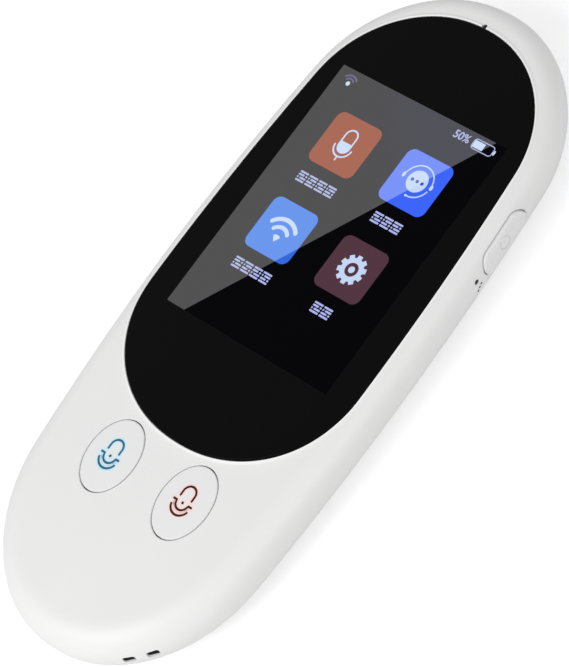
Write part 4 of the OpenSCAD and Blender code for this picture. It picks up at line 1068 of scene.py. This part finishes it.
def seen_rays(finish, *kinds):
    """1 on camera rays and on rays of the kinds given, 0 on all others."""
    seen = finish.node("ShaderNodeLightPath", {}, {}, "Is Camera Ray")
    rays = seen.socket.node.outputs
    for kind in kinds:
        seen = seen.math("MAXIMUM", seen, Number(finish, rays[f"Is {kind} Ray"]))
    return seen


def studio_floor():
    """White floor that keeps the shadow, and a little light of its own for the camera."""
    finish = Finish("studio_floor")
    paper = finish.node("ShaderNodeBsdfDiffuse", {}, {"Color": (0.9, 0.9, 0.9, 1)})
    glow = finish.node("ShaderNodeEmission", {}, {"Color": white, "Strength": floor_glow})
    both = finish.node("ShaderNodeAddShader", {}, {0: paper, 1: glow})
    mixed = finish.node("ShaderNodeMixShader", {}, {
        0: seen_rays(finish, "Transmission"), 1: paper, 2: both})
    finish.node("ShaderNodeOutputMaterial", {}, {"Surface": mixed})
    return finish.made


def studio_air():
    """Even light from all round, which the camera and reflections see as plain white."""
    finish = Finish("studio_air", bpy.data.worlds)
    fill, plain = (finish.node("ShaderNodeBackground", {}, {"Color": white, "Strength": strength})
                   for strength in (air_fill, 1.0))
    mixed = finish.node("ShaderNodeMixShader", {}, {
        0: seen_rays(finish, "Transmission", "Glossy"), 1: fill, 2: plain})
    finish.node("ShaderNodeOutputWorld", {}, {"Surface": mixed})
    return finish.made


bpy.ops.mesh.primitive_plane_add(size=6, location=(0, 0, -0.0001))
floor = bpy.context.object
floor.name = "studio_floor"
floor.data.materials.append(studio_floor())
bpy.context.scene.world = studio_air()

for name, place, size, power in (("key_lamp", (-0.05, -0.36, 0.38), 0.35, 1.1),
                                 ("fill_lamp", (0.95, 0.05, 0.7), 0.8, 2.5)):
    lamp = bpy.data.lights.new(name, "AREA")
    lamp.shape, lamp.size, lamp.energy = "DISK", size, power
    holder = bpy.data.objects.new(name, lamp)
    holder.location = place
    holder.visible_camera = False
    holder.rotation_euler = Vector(place).to_track_quat("Z", "Y").to_euler()
    bpy.context.collection.objects.link(holder)

camera_aim = Vector((0.004864, -0.001892, 0.0119))
camera_far, camera_turn, camera_rise, camera_roll = 0.54035, -13.821, 52.615, -42.216
turn, rise = math.radians(camera_turn), math.radians(camera_rise)
away = Vector((math.cos(rise) * math.cos(turn), math.cos(rise) * math.sin(turn), math.sin(rise)))
side = Vector((0, 0, 1)).cross(away).normalized()
lens = bpy.data.cameras.new("long_lens")
lens.sensor_fit, lens.sensor_width, lens.lens = "HORIZONTAL", 36, 214.91
lens.clip_start, lens.clip_end = 0.01, 20
camera = bpy.data.objects.new("camera", lens)
camera.matrix_world = (Matrix.Translation(camera_aim + away * camera_far)
                       @ Matrix((side, away.cross(side), away)).transposed().to_4x4()
                       @ Matrix.Rotation(math.radians(camera_roll), 4, "Z"))
bpy.context.collection.objects.link(camera)
bpy.context.scene.camera = camera
bpy.context.scene.view_settings.view_transform = "Standard"
